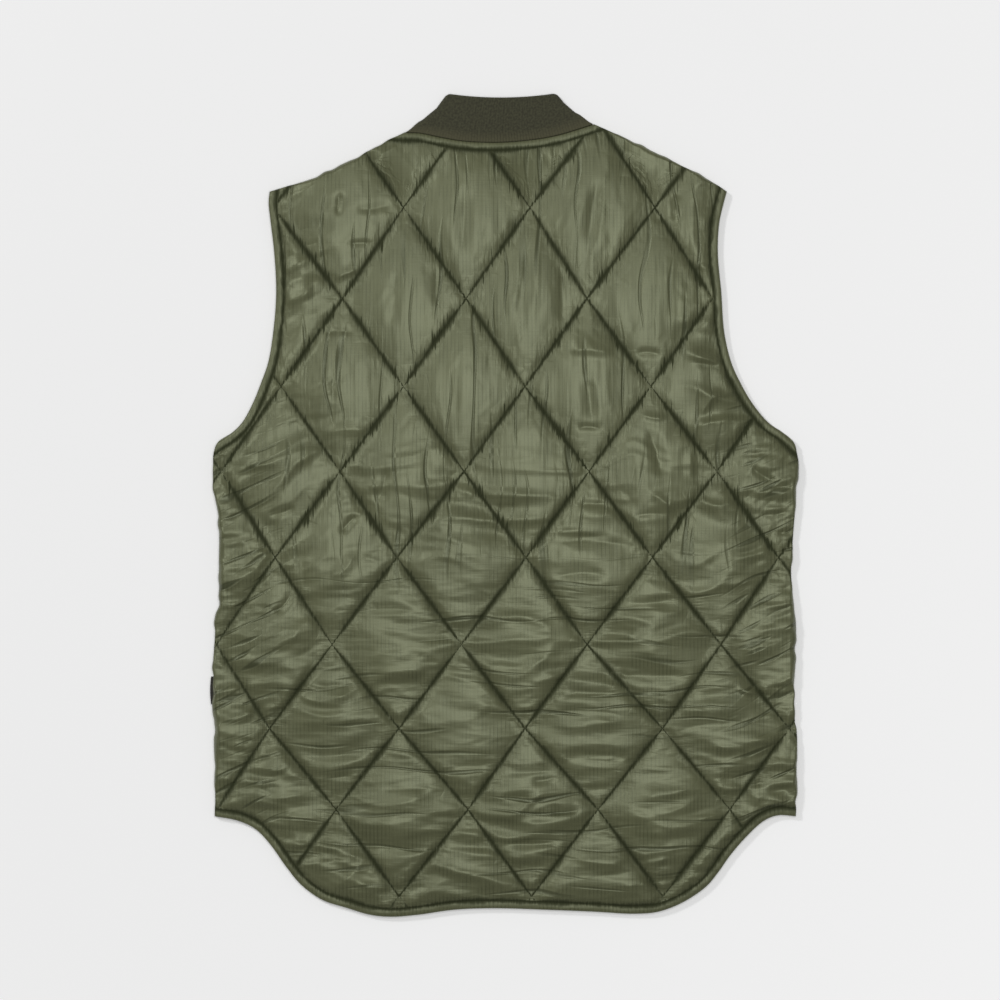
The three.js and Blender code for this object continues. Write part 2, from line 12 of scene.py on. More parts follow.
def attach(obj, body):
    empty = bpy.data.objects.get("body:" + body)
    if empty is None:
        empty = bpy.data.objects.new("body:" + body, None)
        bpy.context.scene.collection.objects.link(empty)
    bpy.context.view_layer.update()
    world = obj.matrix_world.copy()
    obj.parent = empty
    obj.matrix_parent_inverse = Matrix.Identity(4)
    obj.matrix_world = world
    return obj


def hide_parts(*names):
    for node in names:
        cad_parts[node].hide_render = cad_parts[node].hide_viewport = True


MM = 0.001
rng = np.random.default_rng(7)

# Working values of curves and distances
SPLINE_STEPS = 24
LEAST_GAP = 0.5
LINES_APART = 1000.0
POINTS_AT_ONCE = 1000
INSET_SHARE = 0.985
INSET_SLACK = 0.02
CLOSEST = 0.0001
FAR_FROM_SEAMS = 60.0

# Layers, measured up from the surface
FRONT_TOP = 5.0
BACK_INSIDE = 5.3

# Padding of the back
WALL = 2.0
PUFF_RISE = 6.5
PUFF_REACH = 50.0
PUFF_POWER = 0.62
DEEPEST = -0.6
EDGE_FADE = 5.0

# Turned and topstitched edge at the armholes, hem and neck
BAND_WIDTH = 8.0
BAND_RISE = 1.6
BAND_FADE = 30.0
BAND_FADE_POWER = 0.7
BAND_DIPS = 0.3
BAND_DIP_RUN = 4.5
BAND_DIP_RARE = 0.3
RIM_RISE = 0.8
RIM_REACH = 2.5
RIM_ROUND_RISE = 3.2
RUN_ON = 20.0
TOPSTITCH_SIDES = (1, -1, 1, -1)

# Rolled edge at the side and shoulder seams
ROLL_REACH = 10.0
ROLL_DETAIL = 0.9
SIDE_WAVER = 1.1
SIDE_WAVE = 9.0
SIDE_WAVER_FADE = 6.0
SHOULDER_WAVER_PLACE = (104.0, 218.0)
WAVER_EASE = 14.0

# Where the photograph's points lie: X = px - PHOTO_X and Y = PHOTO_Y - py, one pixel being 1 mm
PHOTO_X = 505.0
PHOTO_Y = 504.5

# Armhole and side: y, left edge, right edge
ARMHOLE = (
    (313, -235.5, 222),
    (302, -236.5, 219),
    (282, -234.5, 214.5),
    (252, -231, 213),
    (212, -229, 216.5),
    (172, -232, 219.5),
    (142, -237, 226.5),
    (122, -244, 235.5),
    (102, -252, 247),
    (82, -263, 263.5),
    (72, -273, 278),
    (62, -287.5, 289),
    (52, -291.5, 292),
)
SIDE = (
    (52, -291.5, 292),
    (42, -292.5, 293.5),
    (12, -292, 291.5),
    (-17, -287, 290),
    (-67, -286.5, 286.5),
    (-97, -286, 289),
    (-117, -290, 291),
    (-147, -292, 290.5),
    (-187, -292.5, 290),
    (-227, -291, 291),
    (-277, -290, 292.5),
    (-312, -290.5, 291),
)

# Shoulder seam: share of the way from the neck to the tip, left y, right y
SHOULDER = (
    (0, 372.5, 380.5),
    (0.17, 361, 370.5),
    (0.35, 347, 359.5),
    (0.53, 336, 347.5),
    (0.7, 326, 336.5),
    (0.88, 318, 324),
    (1, 313, 313),
)
NECK_LEFT = -100.0
NECK_RIGHT = 89.0

# Back neck seam and shirt-tail hem, from left to right: x, y
NECK = (
    (-100, 372),
    (-85, 371.5),
    (-65, 367.5),
    (-45, 364),
    (-25, 362.5),
    (0, 362.5),
    (35, 366),
    (55, 370),
    (75, 376),
    (89, 380.5),
)
HEM = (
    (-290.5, -312),
    (-267, -316.5),
    (-250, -324.5),
    (-235, -340),
    (-219, -362.5),
    (-204, -380.5),
    (-183, -395.5),
    (-159, -403.5),
    (-135, -410.5),
    (-115, -412.5),
    (-87, -410.5),
    (-51, -405.5),
    (-10, -404),
    (40, -405.5),
    (90, -407.5),
    (129, -409.5),
    (153, -407.5),
    (177, -398.5),
    (201, -382.5),
    (213, -368.5),
    (225, -351.5),
    (240, -334),
    (259, -316.5),
    (273, -311),
    (291, -312),
)

# Where the quilting seams cross: y of a row, then x of its crossings from left to right.
# The first and last ones lie off the panel and only give the seams their direction.
CROSSINGS = (
    (386, (-413, -288, -164, -38, 92, 217, 342)),
    (297, (-351, -232, -101.5, 25, 150, 272, 400)),
    (206, (-413, -287, -162.5, -39, 82, 207.5, 335)),
    (118, (-346, -224, -101.5, 20, 146, 270, 398)),
    (33, (-408, -284, -165, -41, 84, 212, 337)),
    (-53, (-352, -230, -108, 21, 147.5, 273.5, 400)),
    (-140, (-413, -289, -173, -43.5, 82, 216, 343)),
    (-224, (-352, -235.5, -106, 20, 157.5, 284, 410)),
    (-305, (-415, -288, -169, -37, 93, 225, 352)),
    (-392, (-355, -230, -106, 26.5, 158, 285, 410)),
    (-479, (-420, -295, -170, -40, 92, 222, 352)),
)
CROSSING_MIDDLE = 3

# Folds of the back, placed from the photograph's points: from px, py, by way of px, py, to px, py,
# then how far the fold reaches to its left and right, and its height, which is negative in a trough
FOLDS = (
    # Upper back
    (600, 176, 592, 208, 588, 254, 5, 6, -1.1),
    (605, 176, 597, 210, 594, 260, 4, 5, -0.8),
    (561, 254, 562, 290, 563, 329, 5, 6, -1.3),
    (530, 239, 522, 285, 516, 330, 6, 5, -0.8),
    (464, 182, 464, 222, 460, 260, 6, 6, -1.2),
    (397, 268, 394, 300, 393, 330, 6, 6, -0.8),
    (440, 263, 436, 282, 438, 310, 6, 5, -1.1),
    (673, 192, 677, 207, 672, 223, 6, 6, -1.7),
    (339, 192, 339, 204, 336, 216, 6, 6, -1.4),
    (353, 208, 372, 209, 394, 203, 8, 6, -1.0),
    (346, 244, 360, 243, 374, 243, 5, 7, -1.0),
    (334, 281, 346, 274, 361, 270, 12, 6, 1.3),
    (283, 303, 300, 297, 314, 286, 7, 7, 1.3),
    # Right, from the armhole to the waist
    (566, 352, 590, 350, 614, 355, 24, 10, 1.8),
    (588, 376, 590, 400, 592, 424, 7, 7, -1.2),
    (575, 429, 589, 427, 603, 430, 8, 5, -1.1),
    (634, 356, 646, 352, 663, 356, 5, 6, -1.1),
    (685, 355, 702, 358, 719, 364, 6, 5, 1.2),
    (693, 363, 707, 364, 721, 367, 5, 7, -1.0),
    (700, 418, 709, 402, 724, 391, 8, 6, 1.4),
    (690, 430, 709, 423, 738, 417, 6, 10, 1.6),
    (646, 427, 654, 445, 662, 480, 7, 5, -1.9),
    (639, 413, 652, 418, 668, 418, 8, 5, 1.0),
    (690, 448, 690, 464, 691, 480, 4, 4, 1.0),
    (649, 494, 662, 500, 674, 512, 4, 5, 1.1),
    (631, 517, 650, 514, 671, 514, 8, 5, -1.1),
    (574, 503, 592, 504, 609, 503, 4, 4, -1.0),
    (574, 507, 592, 508, 609, 507, 3, 3, 0.6),
    (567, 538, 592, 536, 615, 536, 5, 6, -1.1),
    (550, 544, 590, 541, 639, 547, 5, 5, -1.3),
    (751, 464, 757, 472, 773, 480, 6, 6, -1.7),
    (743, 490, 768, 493, 795, 491, 5, 5, 1.2),
    (770, 488, 783, 487, 795, 487, 4, 3, -1.6),
    (748, 497, 770, 500, 795, 498, 5, 8, -1.0),
    (756, 515, 776, 514, 795, 509, 6, 5, -1.5),
    (776, 534, 786, 532, 795, 533, 5, 5, -1.5),
    (703, 506, 720, 505, 738, 503, 5, 5, 1.1),
    # Left, from the armhole to the waist
    (332, 370, 333, 387, 332, 404, 4, 4, -0.7),
    (324, 334, 340, 331, 355, 334, 6, 4, -0.9),
    (320, 439, 340, 430, 372, 431, 6, 7, 1.4),
    (240, 474, 280, 459, 321, 442, 9, 8, 2.0),
    (267, 515, 281, 513, 296, 506, 6, 5, -1.2),
    (388, 466, 384, 486, 377, 506, 6, 6, -1.8),
    (426, 443, 427, 466, 426, 488, 6, 6, -0.9),
    (359, 514, 352, 520, 340, 534, 6, 6, -1.7),
    # Lower left
    (219, 590, 245, 576, 265, 562, 6, 7, 1.6),
    (272, 612, 285, 604, 293, 589, 6, 6, -1.8),
    (238, 668, 280, 643, 318, 626, 8, 9, 2.0),
    (328, 577, 344, 570, 356, 550, 7, 6, 1.4),
    (304, 550, 303, 570, 304, 592, 4, 4, -0.7),
    (359, 611, 387, 609, 415, 611, 5, 5, -1.2),
    (359, 616, 387, 615, 415, 616, 4, 4, 0.7),
    (366, 657, 393, 654, 420, 655, 5, 6, 1.2),
    (372, 674, 400, 671, 430, 670, 9, 7, 1.7),
    (308, 686, 333, 686, 359, 685, 5, 6, -1.4),
    (302, 698, 330, 699, 358, 688, 6, 6, 1.6),
    (219, 721, 238, 718, 256, 711, 7, 6, 1.4),
    (288, 723, 338, 721, 391, 716, 9, 5, 1.8),
    (296, 756, 338, 755, 380, 751, 9, 6, -1.8),
    (249, 767, 272, 768, 296, 765, 6, 5, 1.3),
    (291, 778, 327, 777, 363, 774, 6, 6, -1.4),
    (230, 806, 275, 799, 319, 792, 5, 6, 1.7),
    (225, 809, 262, 820, 307, 831, 7, 7, 1.9),
    (282, 815, 302, 817, 324, 818, 5, 5, 1.0),
    (353, 796, 384, 805, 435, 793, 7, 6, 1.7),
    (378, 788, 406, 789, 435, 787, 5, 4, -1.1),
    (343, 812, 380, 825, 435, 811, 8, 10, 2.0),
    (368, 847, 404, 849, 438, 848, 28, 10, -2.4),
    (438, 848, 470, 848, 500, 846, 12, 8, -1.6),
    (439, 768, 470, 766, 500, 764, 6, 6, -1.5),
    (305, 865, 334, 860, 363, 853, 5, 8, 1.6),
    (334, 888, 352, 874, 366, 858, 6, 6, 1.3),
    (320, 857, 338, 858, 357, 854, 14, 5, -1.3),
    # Lower right
    (550, 579, 581, 573, 611, 577, 8, 6, -1.7),
    (623, 604, 650, 603, 678, 599, 5, 5, -1.3),
    (646, 609, 668, 612, 687, 609, 4, 5, 1.0),
    (603, 633, 620, 634, 638, 636, 6, 5, -1.2),
    (598, 674, 650, 676, 698, 673, 20, 10, -2.2),
    (610, 690, 640, 692, 670, 690, 8, 5, -1.4),
    (740, 660, 762, 648, 788, 639, 7, 7, 1.6),
    (764, 688, 782, 686, 799, 685, 5, 5, -1.3),
    (692, 695, 726, 694, 761, 687, 6, 6, -1.6),
    (678, 711, 694, 710, 710, 711, 4, 5, 1.1),
    (670, 733, 730, 722, 788, 729, 8, 7, -1.8),
    (685, 748, 735, 745, 788, 729, 6, 6, 1.6),
    (552, 695, 588, 693, 625, 694, 5, 5, -1.3),
    (552, 699, 588, 697, 625, 698, 3, 3, 0.6),
    (550, 714, 588, 710, 627, 717, 5, 5, -1.3),
    (550, 722, 570, 727, 627, 719, 6, 5, 1.4),
    (632, 794, 668, 794, 702, 781, 6, 7, 1.7),
    (614, 809, 662, 814, 706, 790, 6, 8, 1.8),
    (641, 823, 682, 826, 725, 808, 6, 8, 1.6),
    (716, 779, 740, 777, 763, 775, 4, 5, -1.3),
    (747, 790, 768, 784, 797, 798, 6, 7, -1.9),
    (745, 792, 764, 799, 792, 798, 5, 5, 1.5),
    (500, 772, 530, 772, 561, 770, 5, 5, -1.1),
    (555, 757, 600, 760, 643, 758, 12, 7, -2.0),
    (530, 781, 544, 780, 557, 776, 4, 4, -1.1),
    (500, 796, 515, 797, 531, 796, 10, 5, -1.2),
    (547, 811, 565, 812, 582, 809, 14, 6, -1.7),
    (500, 819, 542, 823, 586, 816, 5, 5, 1.4),
    (500, 842, 534, 844, 567, 840, 16, 6, -2.0),
    (516, 864, 534, 866, 551, 866, 4, 4, -0.8),
    (659, 838, 680, 837, 704, 838, 5, 5, -1.2),
    (641, 862, 655, 861, 669, 857, 5, 5, 1.2),
    (571, 856, 592, 862, 631, 864, 5, 5, 1.3),
    (557, 872, 594, 876, 631, 872, 5, 6, -1.3),
    (643, 881, 660, 880, 678, 877, 4, 4, -1.0),
    (622, 891, 640, 884, 661, 892, 6, 5, 1.2),
)
FOLD_WIDEN = 1.8
FOLD_LEAST_WIDEN = 0.8
FOLD_SHORT = 0.22
FOLD_CREST = 0.1
FOLD_LIFT = 1.35
FOLD_SHARPNESS = 1.5
FOLD_END = 0.3
FOLD_SEAM_FADE = 8.0

# Small creases between the folds
CREASE_COUNT = 900
CREASE_LENGTH = (9.0, 30.0)
CREASE_REACH = (2.5, 5.0)
CREASE_RISE = (0.15, 0.5)
CREASE_BEND = 0.012

# Where small creases change direction, and their direction and its spread in degrees in each place
UPRIGHT_ABOVE = 60.0
LEVEL_BELOW = -60.0
CREASE_SIDES = 190.0
CREASE_ANGLES = {
    "upright": (90, 22),
    "armhole": (20, 30),
    "left": (28, 16),
    "waist": (10, 40),
    "low": (4, 12),
}

# Deeper creases beside both side seams: how far in they lie and the heights between which they lie
SIDE_CREASE_COUNT = 190
SIDE_CREASE_IN = (4.0, 62.0)
SIDE_CREASE_UP = (-300.0, 60.0)
SIDE_CREASE_LENGTH = (14.0, 44.0)
SIDE_CREASE_REACH = (3.2, 6.0)
SIDE_CREASE_RISE = (0.5, 1.4)
SIDE_CREASE_LEAN = 24.0
SIDE_CREASE_SPREAD = 14.0

# Broad ripples of the satin: length, pitch and height of those that run level, slanting and upright
LEVEL_RIPPLES = (95.0, 24.0, 1.9)
SLANTING_RIPPLES = (80.0, 22.0, 1.5)
UPRIGHT_RIPPLES = (110.0, 20.0, 0.55)
RIPPLE_SLANT = 0.5
RIPPLE_BEND = 14.0
RIPPLE_BEND_SIZE = 60.0

# Finer ripples between the broad ones: how much shorter and closer they are, and their share of the height
FINE_RIPPLES = (1.9, 2.1, 0.35)

# Where upright and slanting ripples begin and are full
UPRIGHT_X = (215.0, 165.0)
UPRIGHT_Y = (20.0, 90.0)
SLANTING_X = (-150.0, -210.0)
SLANTING_Y = (-190.0, -90.0)

# Thin creases of the shader: length and width of the noise that they come from, and its height in them
THIN_CREASE_LENGTH = 100.0
THIN_CREASE_WIDTH = 6.5
THIN_CREASE_RARE = 0.635
THIN_CREASE_SOFT = 0.2
SIDE_THIN_CREASE_LENGTH = 42.0
SIDE_THIN_CREASE_RARE = 0.585
SIDE_THIN_CREASE_SLANT = 0.42
SIDE_THIN_CREASE_FROM = (205.0, 255.0)
THIN_CREASE_BEND = 18.0
THIN_CREASE_BEND_SCALE = 0.014

# Puckers that the stitches draw into the cloth beside a seam: upright over the upper back, flatter below
PUCKER_WIDTH = 6.0
PUCKER_LENGTH = 18.0
PUCKER_RISE = 0.9
PUCKER_REACH = (4.0, 19.0)
PUCKER_TURN = (-20.0, -110.0)
LEVEL_PUCKERS = 0.6
PUCKER_START = 2.0
PUCKER_EDGE_FADE = 4.0
PUCKER_SEAM_FADE = 3.0
SEAM_RUN = 14.0

# Mesh of the back: depths of the rings inside the outline, and places across one diamond
STEP = 2.2
COARSE_STEP = 6.0
RING_DEPTHS = (0.6, 1.4, 2.6, 4, 5.4, 6.6, 7.5, 8, 8.6, 9.8)
CELLS_START = 11.0
POINT_GAP = 1.2
SEAM_STEPS = (0.8, 1.2, 1.6, 2.0)
CELL_SPAN = 102.0
CELL_STEP = 2.6
CREST_STEP = 2.4
CREST_BESIDE = 1.3

# Front panels
FRONT_STEP = 3.2
FRONT_RING_DEPTHS = (0.7, 1.6, 3, 4.6, 6.2, 7.4, 8, 8.6, 10.4)
FRONT_HEM_INSET = 2.0
FRONT_ARMHOLE_INSET = 3.0
FRONT_ROUND = 2.4
FRONT_RECESS = 1.3
PLACKET_HALF = 15.0
PLACKET_SPLIT = 2.5
SEAM_GAP = 0.3
FRONT_NECK_DROP = 296.0
FRONT_NECK_PULL = (88.0, 302.0)
FRONT_NECK_STEPS = 60
FRONT_EASE = 36.0
FRONT_SEAM_WIDTH = 3.2
FRONT_TOPSTITCH_WIDTH = 1.6
FRONT_PUCKER_RISE = 0.35
FRONT_DEEPEST = 0.42
FRONT_ROUND_DEEPEST = 0.3

# Collar: two layers of rib joined by a rolled fold at each side
COLLAR_HIGH = 50.0
COLLAR_WALL = 3.0
COLLAR_TOP = BACK_INSIDE + COLLAR_WALL
ROLL_CENTRE = COLLAR_TOP / 2
COLLAR_SEAM_GAP = 0.1
COLLAR_FOOT = 0.06
COLLAR_FOOT_TAPER = 0.3
COLLAR_ROUND = 3.0
COLLAR_TOP_SAG = 3.5
COLLAR_END_GAP = 0.5
FRONT_COLLAR_TOP = 346.0
FRONT_COLLAR_PULL = (50.0, 350.0)
FOLD_LEAN = 55.0
RIB_PITCH = 2.7
RIB_RISE = 0.25
RIB_FAN = 0.16
RIB_FULLNESS = 0.7
COLLAR_COLUMNS = 460
COLLAR_FRONT_STEPS = 150
COLLAR_ROWS = 26
TURN_STEPS = 14

# Lines that the collar folds on: share of the way up, left x and y, right x and y
COLLAR_FOLD = (
    (0, -99.3, 372.3, 87.6, 380.7),
    (0.33, -80, 381.8, 67.5, 389.2),
    (0.66, -65, 394.5, 55.5, 399.8),
    (1, -54, 410.5, 47.5, 410.8),
)

# Snap fasteners down the centre front
SNAP_COUNT = 6
SNAP_HIGH = 268.0
SNAP_LOW = -372.0
LATHE_SIDES = 48

# Snap fastener, as radius and height: ringed cap below, stem through both plackets, and a plain ring above
SNAP_PROFILE = (
    (3.2, 0.35), (3.9, 0.3), (4.3, 0.05), (5.0, 0.0), (6.6, 0.0),
    (7.2, 0.2), (7.5, 0.6), (7.4, 1.0), (7.0, 1.2),
    (2.5, 1.2), (2.5, 3.8),
    (5.6, 3.8), (6.0, 4.1), (6.0, 4.6), (5.6, 4.9), (4.6, 5.0), (3.6, 4.9), (3.2, 4.5),
)

# Small folded tab in the left side seam
TAB_OUT = -295.0
TAB_IN = -285.0
TAB_HIGH = -172.0
TAB_LOW = -200.0
TAB_THICK = 0.7
TAB_BOW = 1.0
TAB_ROWS = 25

# Section of the tab: share of the way in and of its thickness
TAB_SECTION = ((0, 0.88), (0.5, 1), (1, 0.9), (1, 0.1), (0.5, 0), (0, 0.12))

# Stitches, and the rings of one: place along it, share of the radius, and height
STITCH_PITCH = 3.0
STITCH_LENGTH = 2.3
STITCH_RADIUS = 0.28
STITCH_CLEAR = {"band": 2.0, "placket": 1.0, "neck": 4.0}
STITCH_RINGS = ((-0.5, 0.3, -0.35), (0, 1, 0.0), (0.5, 0.3, -0.35))

# Colours, linear
NYLON = (0.112, 0.117, 0.060)
NYLON_DARK = (0.088, 0.092, 0.046)
NYLON_SHINE = (0.93, 1.0, 0.70)
NYLON_ROUGHNESS = 0.43
# Painted shade of the seams and creases, which also colours the ripstop grid's lines
PAINTED_SHADE_AND_GRID = (0.013, 0.016, 0.003)
THREAD = (0.016, 0.019, 0.007)
RIB = (0.070, 0.070, 0.042)
RIB_DARK = (0.046, 0.045, 0.029)
RIB_FOOT = (0.104, 0.098, 0.056)
# Painted shade between the ribs
RIB_GROOVE_SHADE = (0.022, 0.022, 0.014)
RIB_SHEEN = (0.5, 0.5, 0.38)
TAB = (0.045, 0.042, 0.035)
METAL = (0.040, 0.042, 0.034)
FLOOR = (0.80, 0.80, 0.80)
FLOOR_GLOW = 0.24
FLOOR_GLOW_RISE = 0.13
FLOOR_GLOW_LEAN = 0.07
FLOOR_GLOW_LEAST = 0.2
FLOOR_GLOW_MOST = 0.38
FLOOR_HALF = 7000.0
FLOOR_DROP = 0.2
PAPER_SCALE = 0.002

# Noises of the nylon: width, height, seed and detail
STREAKS = (2.6, 14.0, 0.0, 1.0)
LEVEL_STREAKS = (13.0, 3.0, 5.0, 1.0)
HAIRS = (1.6, 9.0, 2.0, 2.0)
SPIKES = (2.0, 30.0, 6.0, 1.0)
THREADS = (1.25, 33.3333, 0.0, 2.0)
PICKS = (16.6667, 1.25, 3.0, 2.0)
CRINKLES = (40.0, 11.0, 9.0, 1.5)
PLEATS = (10.0, 75.0, 7.0, 1.5)
SWELL_SCALE = 0.035
FAINT_SCALE = 0.06
PATCH_SCALE = 0.02

# Painted shade, dark and ragged, in and beside each seam's groove: how far it reaches, and how it narrows
# where the seams cross
HOLLOW_SHADE_REACH = 10.0
HOLLOW_SWELL = (1.6, 3.8)
HOLLOW_OPENS = (1.0, 26.0)
HAIR_LENGTH = 3.4
SPIKE_LENGTH = 7.5
SPIKES_START = (5.0, 14.0)
PUCKER_SHADE_REACH = (4.0, 17.0)
BAND_SHIFT = 40.0

# Ripstop grid, and depths of the nylon's relief in metres: crinkles, thin creases, puckers and threads
GRID_PITCH = 3.85
GRID_UPRIGHT_SHARE = 0.26
GRID_LEVEL_SHARE = 0.16
NYLON_DEPTHS = (0.0013, 0.0007, 0.0008, 0.00006)

# Knit, tape, thread and metal
KNIT_ROW = 1.3
KNIT_DEPTH = 0.0002
FUZZ = (2.22222, 2.5, 0.0, 4.0)
# Painted shade between the ribs fades over this span of height up the collar
RIB_GROOVE_SHADE_FADE = (4.0, 22.0)
RIB_FOOT_HIGH = 17.0
TAPE_PITCH = 0.9
THREAD_SCALE = 0.8
WEAR_SCALE = 0.6

# Light and camera, in metres: each softbox's name, place, aim, size and energy
WORLD_LIGHT = 0.22
SOFTBOXES = (
    ("overhead", (0.09, 0.12, 2.0), (0.09, 0.08, 0), 0.6, 14.0),
    ("key", (-2.2, 1.7, 2.9), (0, 0, 0), 0.5, 44.0),
)
CAMERA_PLACE = (-0.005, 0.0045, 4.008)
CAMERA_SENSOR = 36.0
CAMERA_LENS = 144.0
CAMERA_CLIP = 50.0

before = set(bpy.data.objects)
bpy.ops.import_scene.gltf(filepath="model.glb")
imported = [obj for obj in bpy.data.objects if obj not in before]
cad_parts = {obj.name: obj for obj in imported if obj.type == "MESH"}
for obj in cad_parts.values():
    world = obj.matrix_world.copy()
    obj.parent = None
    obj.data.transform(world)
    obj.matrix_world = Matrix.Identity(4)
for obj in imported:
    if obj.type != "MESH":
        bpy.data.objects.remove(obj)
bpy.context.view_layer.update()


# Points resampled at even spacing, both ends kept
def evenly(points, step):
    lengths = np.hypot(*np.diff(points, axis=0).T)
    along = np.concatenate(([0], np.cumsum(lengths)))
    places = np.linspace(0, along[-1], max(2, round(along[-1] / step)) + 1)
    return np.column_stack([np.interp(places, along, points[:, axis]) for axis in (0, 1)])


# Centripetal spline through the rows of a table, at even spacing
def curve_through(rows, step):
    knots = np.array(rows, float)
    row = np.vstack([2 * knots[0] - knots[1], knots, 2 * knots[-1] - knots[-2]])
    share = np.linspace(0, 1, SPLINE_STEPS, endpoint=False)[:, None]
    pieces = []
    for index in range(1, len(row) - 2):
        a, b, c, d = row[index - 1 : index + 3]
        before, span, after = (math.sqrt(math.dist(*ends)) for ends in ((a, b), (b, c), (c, d)))
        leave = ((b - a) / before - (c - a) / (before + span) + (c - b) / span) * span
        arrive = ((c - b) / span - (d - b) / (span + after) + (d - c) / after) * span
        square = 3 * (c - b) - 2 * leave - arrive
        cube = 2 * (b - c) + leave + arrive
        pieces.append(b + leave * share + square * share**2 + cube * share**3)
    pieces.append(knots[-1:])
    return evenly(np.vstack(pieces), step)


# Quadratic curve from one point to another, pulled towards a third
def pulled_curve(start, pull, end, count):
    share = np.linspace(0, 1, count + 1)[:, None]
    start, pull, end = (np.array(point, float) for point in (start, pull, end))
    return start * (1 - share) ** 2 + pull * 2 * share * (1 - share) + end * share**2


# Joins edges into one closed outline, with no point twice
def join_edges(*edges):
    points = np.vstack(edges)
    gaps = np.hypot(*(np.roll(points, -1, axis=0) - points).T)
    return points[gaps > LEAST_GAP]


# Segments of polylines, as starts, ends and the length run up to each start
def segments_of(*lines):
    starts = np.vstack([line[:-1] for line in lines])
    ends = np.vstack([line[1:] for line in lines])
    runs = [np.concatenate(([0], np.cumsum(np.hypot(*np.diff(line, axis=0).T))[:-1])) for line in lines]
    runs = [run + LINES_APART * index for index, run in enumerate(runs)]
    return starts, ends, np.concatenate(runs)


def closed_segments(outline):
    return segments_of(np.vstack([outline, outline[:1]]))


# For each point: signed distance to the nearest segment, positive on its left, and the run up to there
def nearest(points, segments):
    starts, ends, runs = segments
    reach = ends - starts
    lengths = np.hypot(*reach.T)
    signed = np.zeros(len(points))
    along = np.zeros(len(points))
    for first in range(0, len(points), POINTS_AT_ONCE):
        part = slice(first, first + POINTS_AT_ONCE)
        dx = points[part, 0, None] - starts[None, :, 0]
        dy = points[part, 1, None] - starts[None, :, 1]
        place = np.clip((dx * reach[:, 0] + dy * reach[:, 1]) / lengths**2, 0, 1)
        gap = np.hypot(dx - place * reach[:, 0], dy - place * reach[:, 1])
        index = gap.argmin(axis=1)
        rows = np.arange(len(index))
        side = reach[index, 0] * dy[rows, index] - reach[index, 1] * dx[rows, index]
        signed[part] = np.where(side >= 0, 1, -1) * gap[rows, index]
        along[part] = runs[index] + place[rows, index] * lengths[index]
    return signed, along


# Directions of one length to the left of tangents
def left_of(tangents):
    unit = tangents / np.hypot(*tangents.T)[:, None]
    return np.column_stack([-unit[:, 1], unit[:, 0]])


# Line that runs beside another one, at a distance on its left, or on its right where that is negative
def line_beside(line, distance):
    return line + distance * left_of(np.gradient(line, axis=0))


# Whether each point lies inside a closed outline
def is_inside(points, outline):
    inside = np.zeros(len(points), bool)
    for (ax, ay), (bx, by) in zip(outline, np.roll(outline, -1, axis=0)):
        spans = (points[:, 1] < ay) != (points[:, 1] < by)
        if ay != by:
            inside ^= spans & (points[:, 0] < ax + (bx - ax) * (points[:, 1] - ay) / (by - ay))
    return inside


# Points at one depth inside an anticlockwise outline, without those that a corner brings closer
def inset_points(outline, depth):
    points = outline + depth * left_of(np.roll(outline, -1, axis=0) - np.roll(outline, 1, axis=0))
    gaps = np.abs(nearest(points, closed_segments(outline))[0])
    return points[(gaps > depth * INSET_SHARE - INSET_SLACK) & is_inside(points, outline)]


# Eased step from 0 at the first value to 1 at the second
def smooth(low, high, values):
    share = np.clip((values - low) / (high - low), 0, 1)
    return share * share * (3 - 2 * share)


# Quarter-round from 0 at an edge to 1 at a reach inside it
def round_over(distance, reach):
    return np.sqrt(1 - (1 - np.clip(distance / reach, 0, 1)) ** 2)


# Smooth noise from -1 to 1 over a plane
def wander_over(x, y, seed):
    size = 512
    table = np.random.default_rng(seed).uniform(-1, 1, (size, size))
    column, row = np.floor(x).astype(int), np.floor(y).astype(int)
    across, up = smooth(0, 1, x - column), smooth(0, 1, y - row)
    left, right, below, above = (index % size for index in (column, column + 1, row, row + 1))
    low = table[below, left] * (1 - across) + table[below, right] * across
    high = table[above, left] * (1 - across) + table[above, right] * across
    return low * (1 - up) + high * up


# Smooth noise from -1 to 1 along a line
def wander(places, seed):
    return wander_over(places, np.zeros(len(places)), seed)


# Crossing of seam number i of the family that falls to the right with number j of the other family
def crossing_at(i, j):
    row, column = i + j, (i - j) // 2 + CROSSING_MIDDLE
    if 0 <= row < len(CROSSINGS) and 0 <= column < len(CROSSINGS[row][1]):
        return (CROSSINGS[row][1][column], CROSSINGS[row][0])
    return None


# Seams of both families as polylines, and the four crossings round each diamond
def quilting():
    reach = range(-len(CROSSINGS), len(CROSSINGS) + 1)
    falling, rising, diamonds = [], [], []
    for one in reach:
        falls = [crossing_at(i, one) for i in reach]
        rises = [crossing_at(one, j) for j in reach]
        falling.append([point for point in falls if point])
        rising.append([point for point in rises if point])
        for other in reach:
            corners = [crossing_at(one + di, other + dj) for dj in (0, 1) for di in (0, 1)]
            if all(corners):
                diamonds.append(np.array(corners, float))
    lines = [[np.array(line, float) for line in family if len(line) > 1] for family in (falling, rising)]
    return lines[0], lines[1], diamonds


# Points of the left or right edge in a table of heights
def edge_points(rows, column):
    return [(row[column], row[0]) for row in rows]


# Turned edge that runs on past both of its ends
def run_on(rows):
    knots = np.array(rows, float)
    first = knots[0] + (knots[0] - knots[1]) * RUN_ON / math.dist(knots[0], knots[1])
    last = knots[-1] + (knots[-1] - knots[-2]) * RUN_ON / math.dist(knots[-1], knots[-2])
    return curve_through([first, *knots, last], STITCH_PITCH)


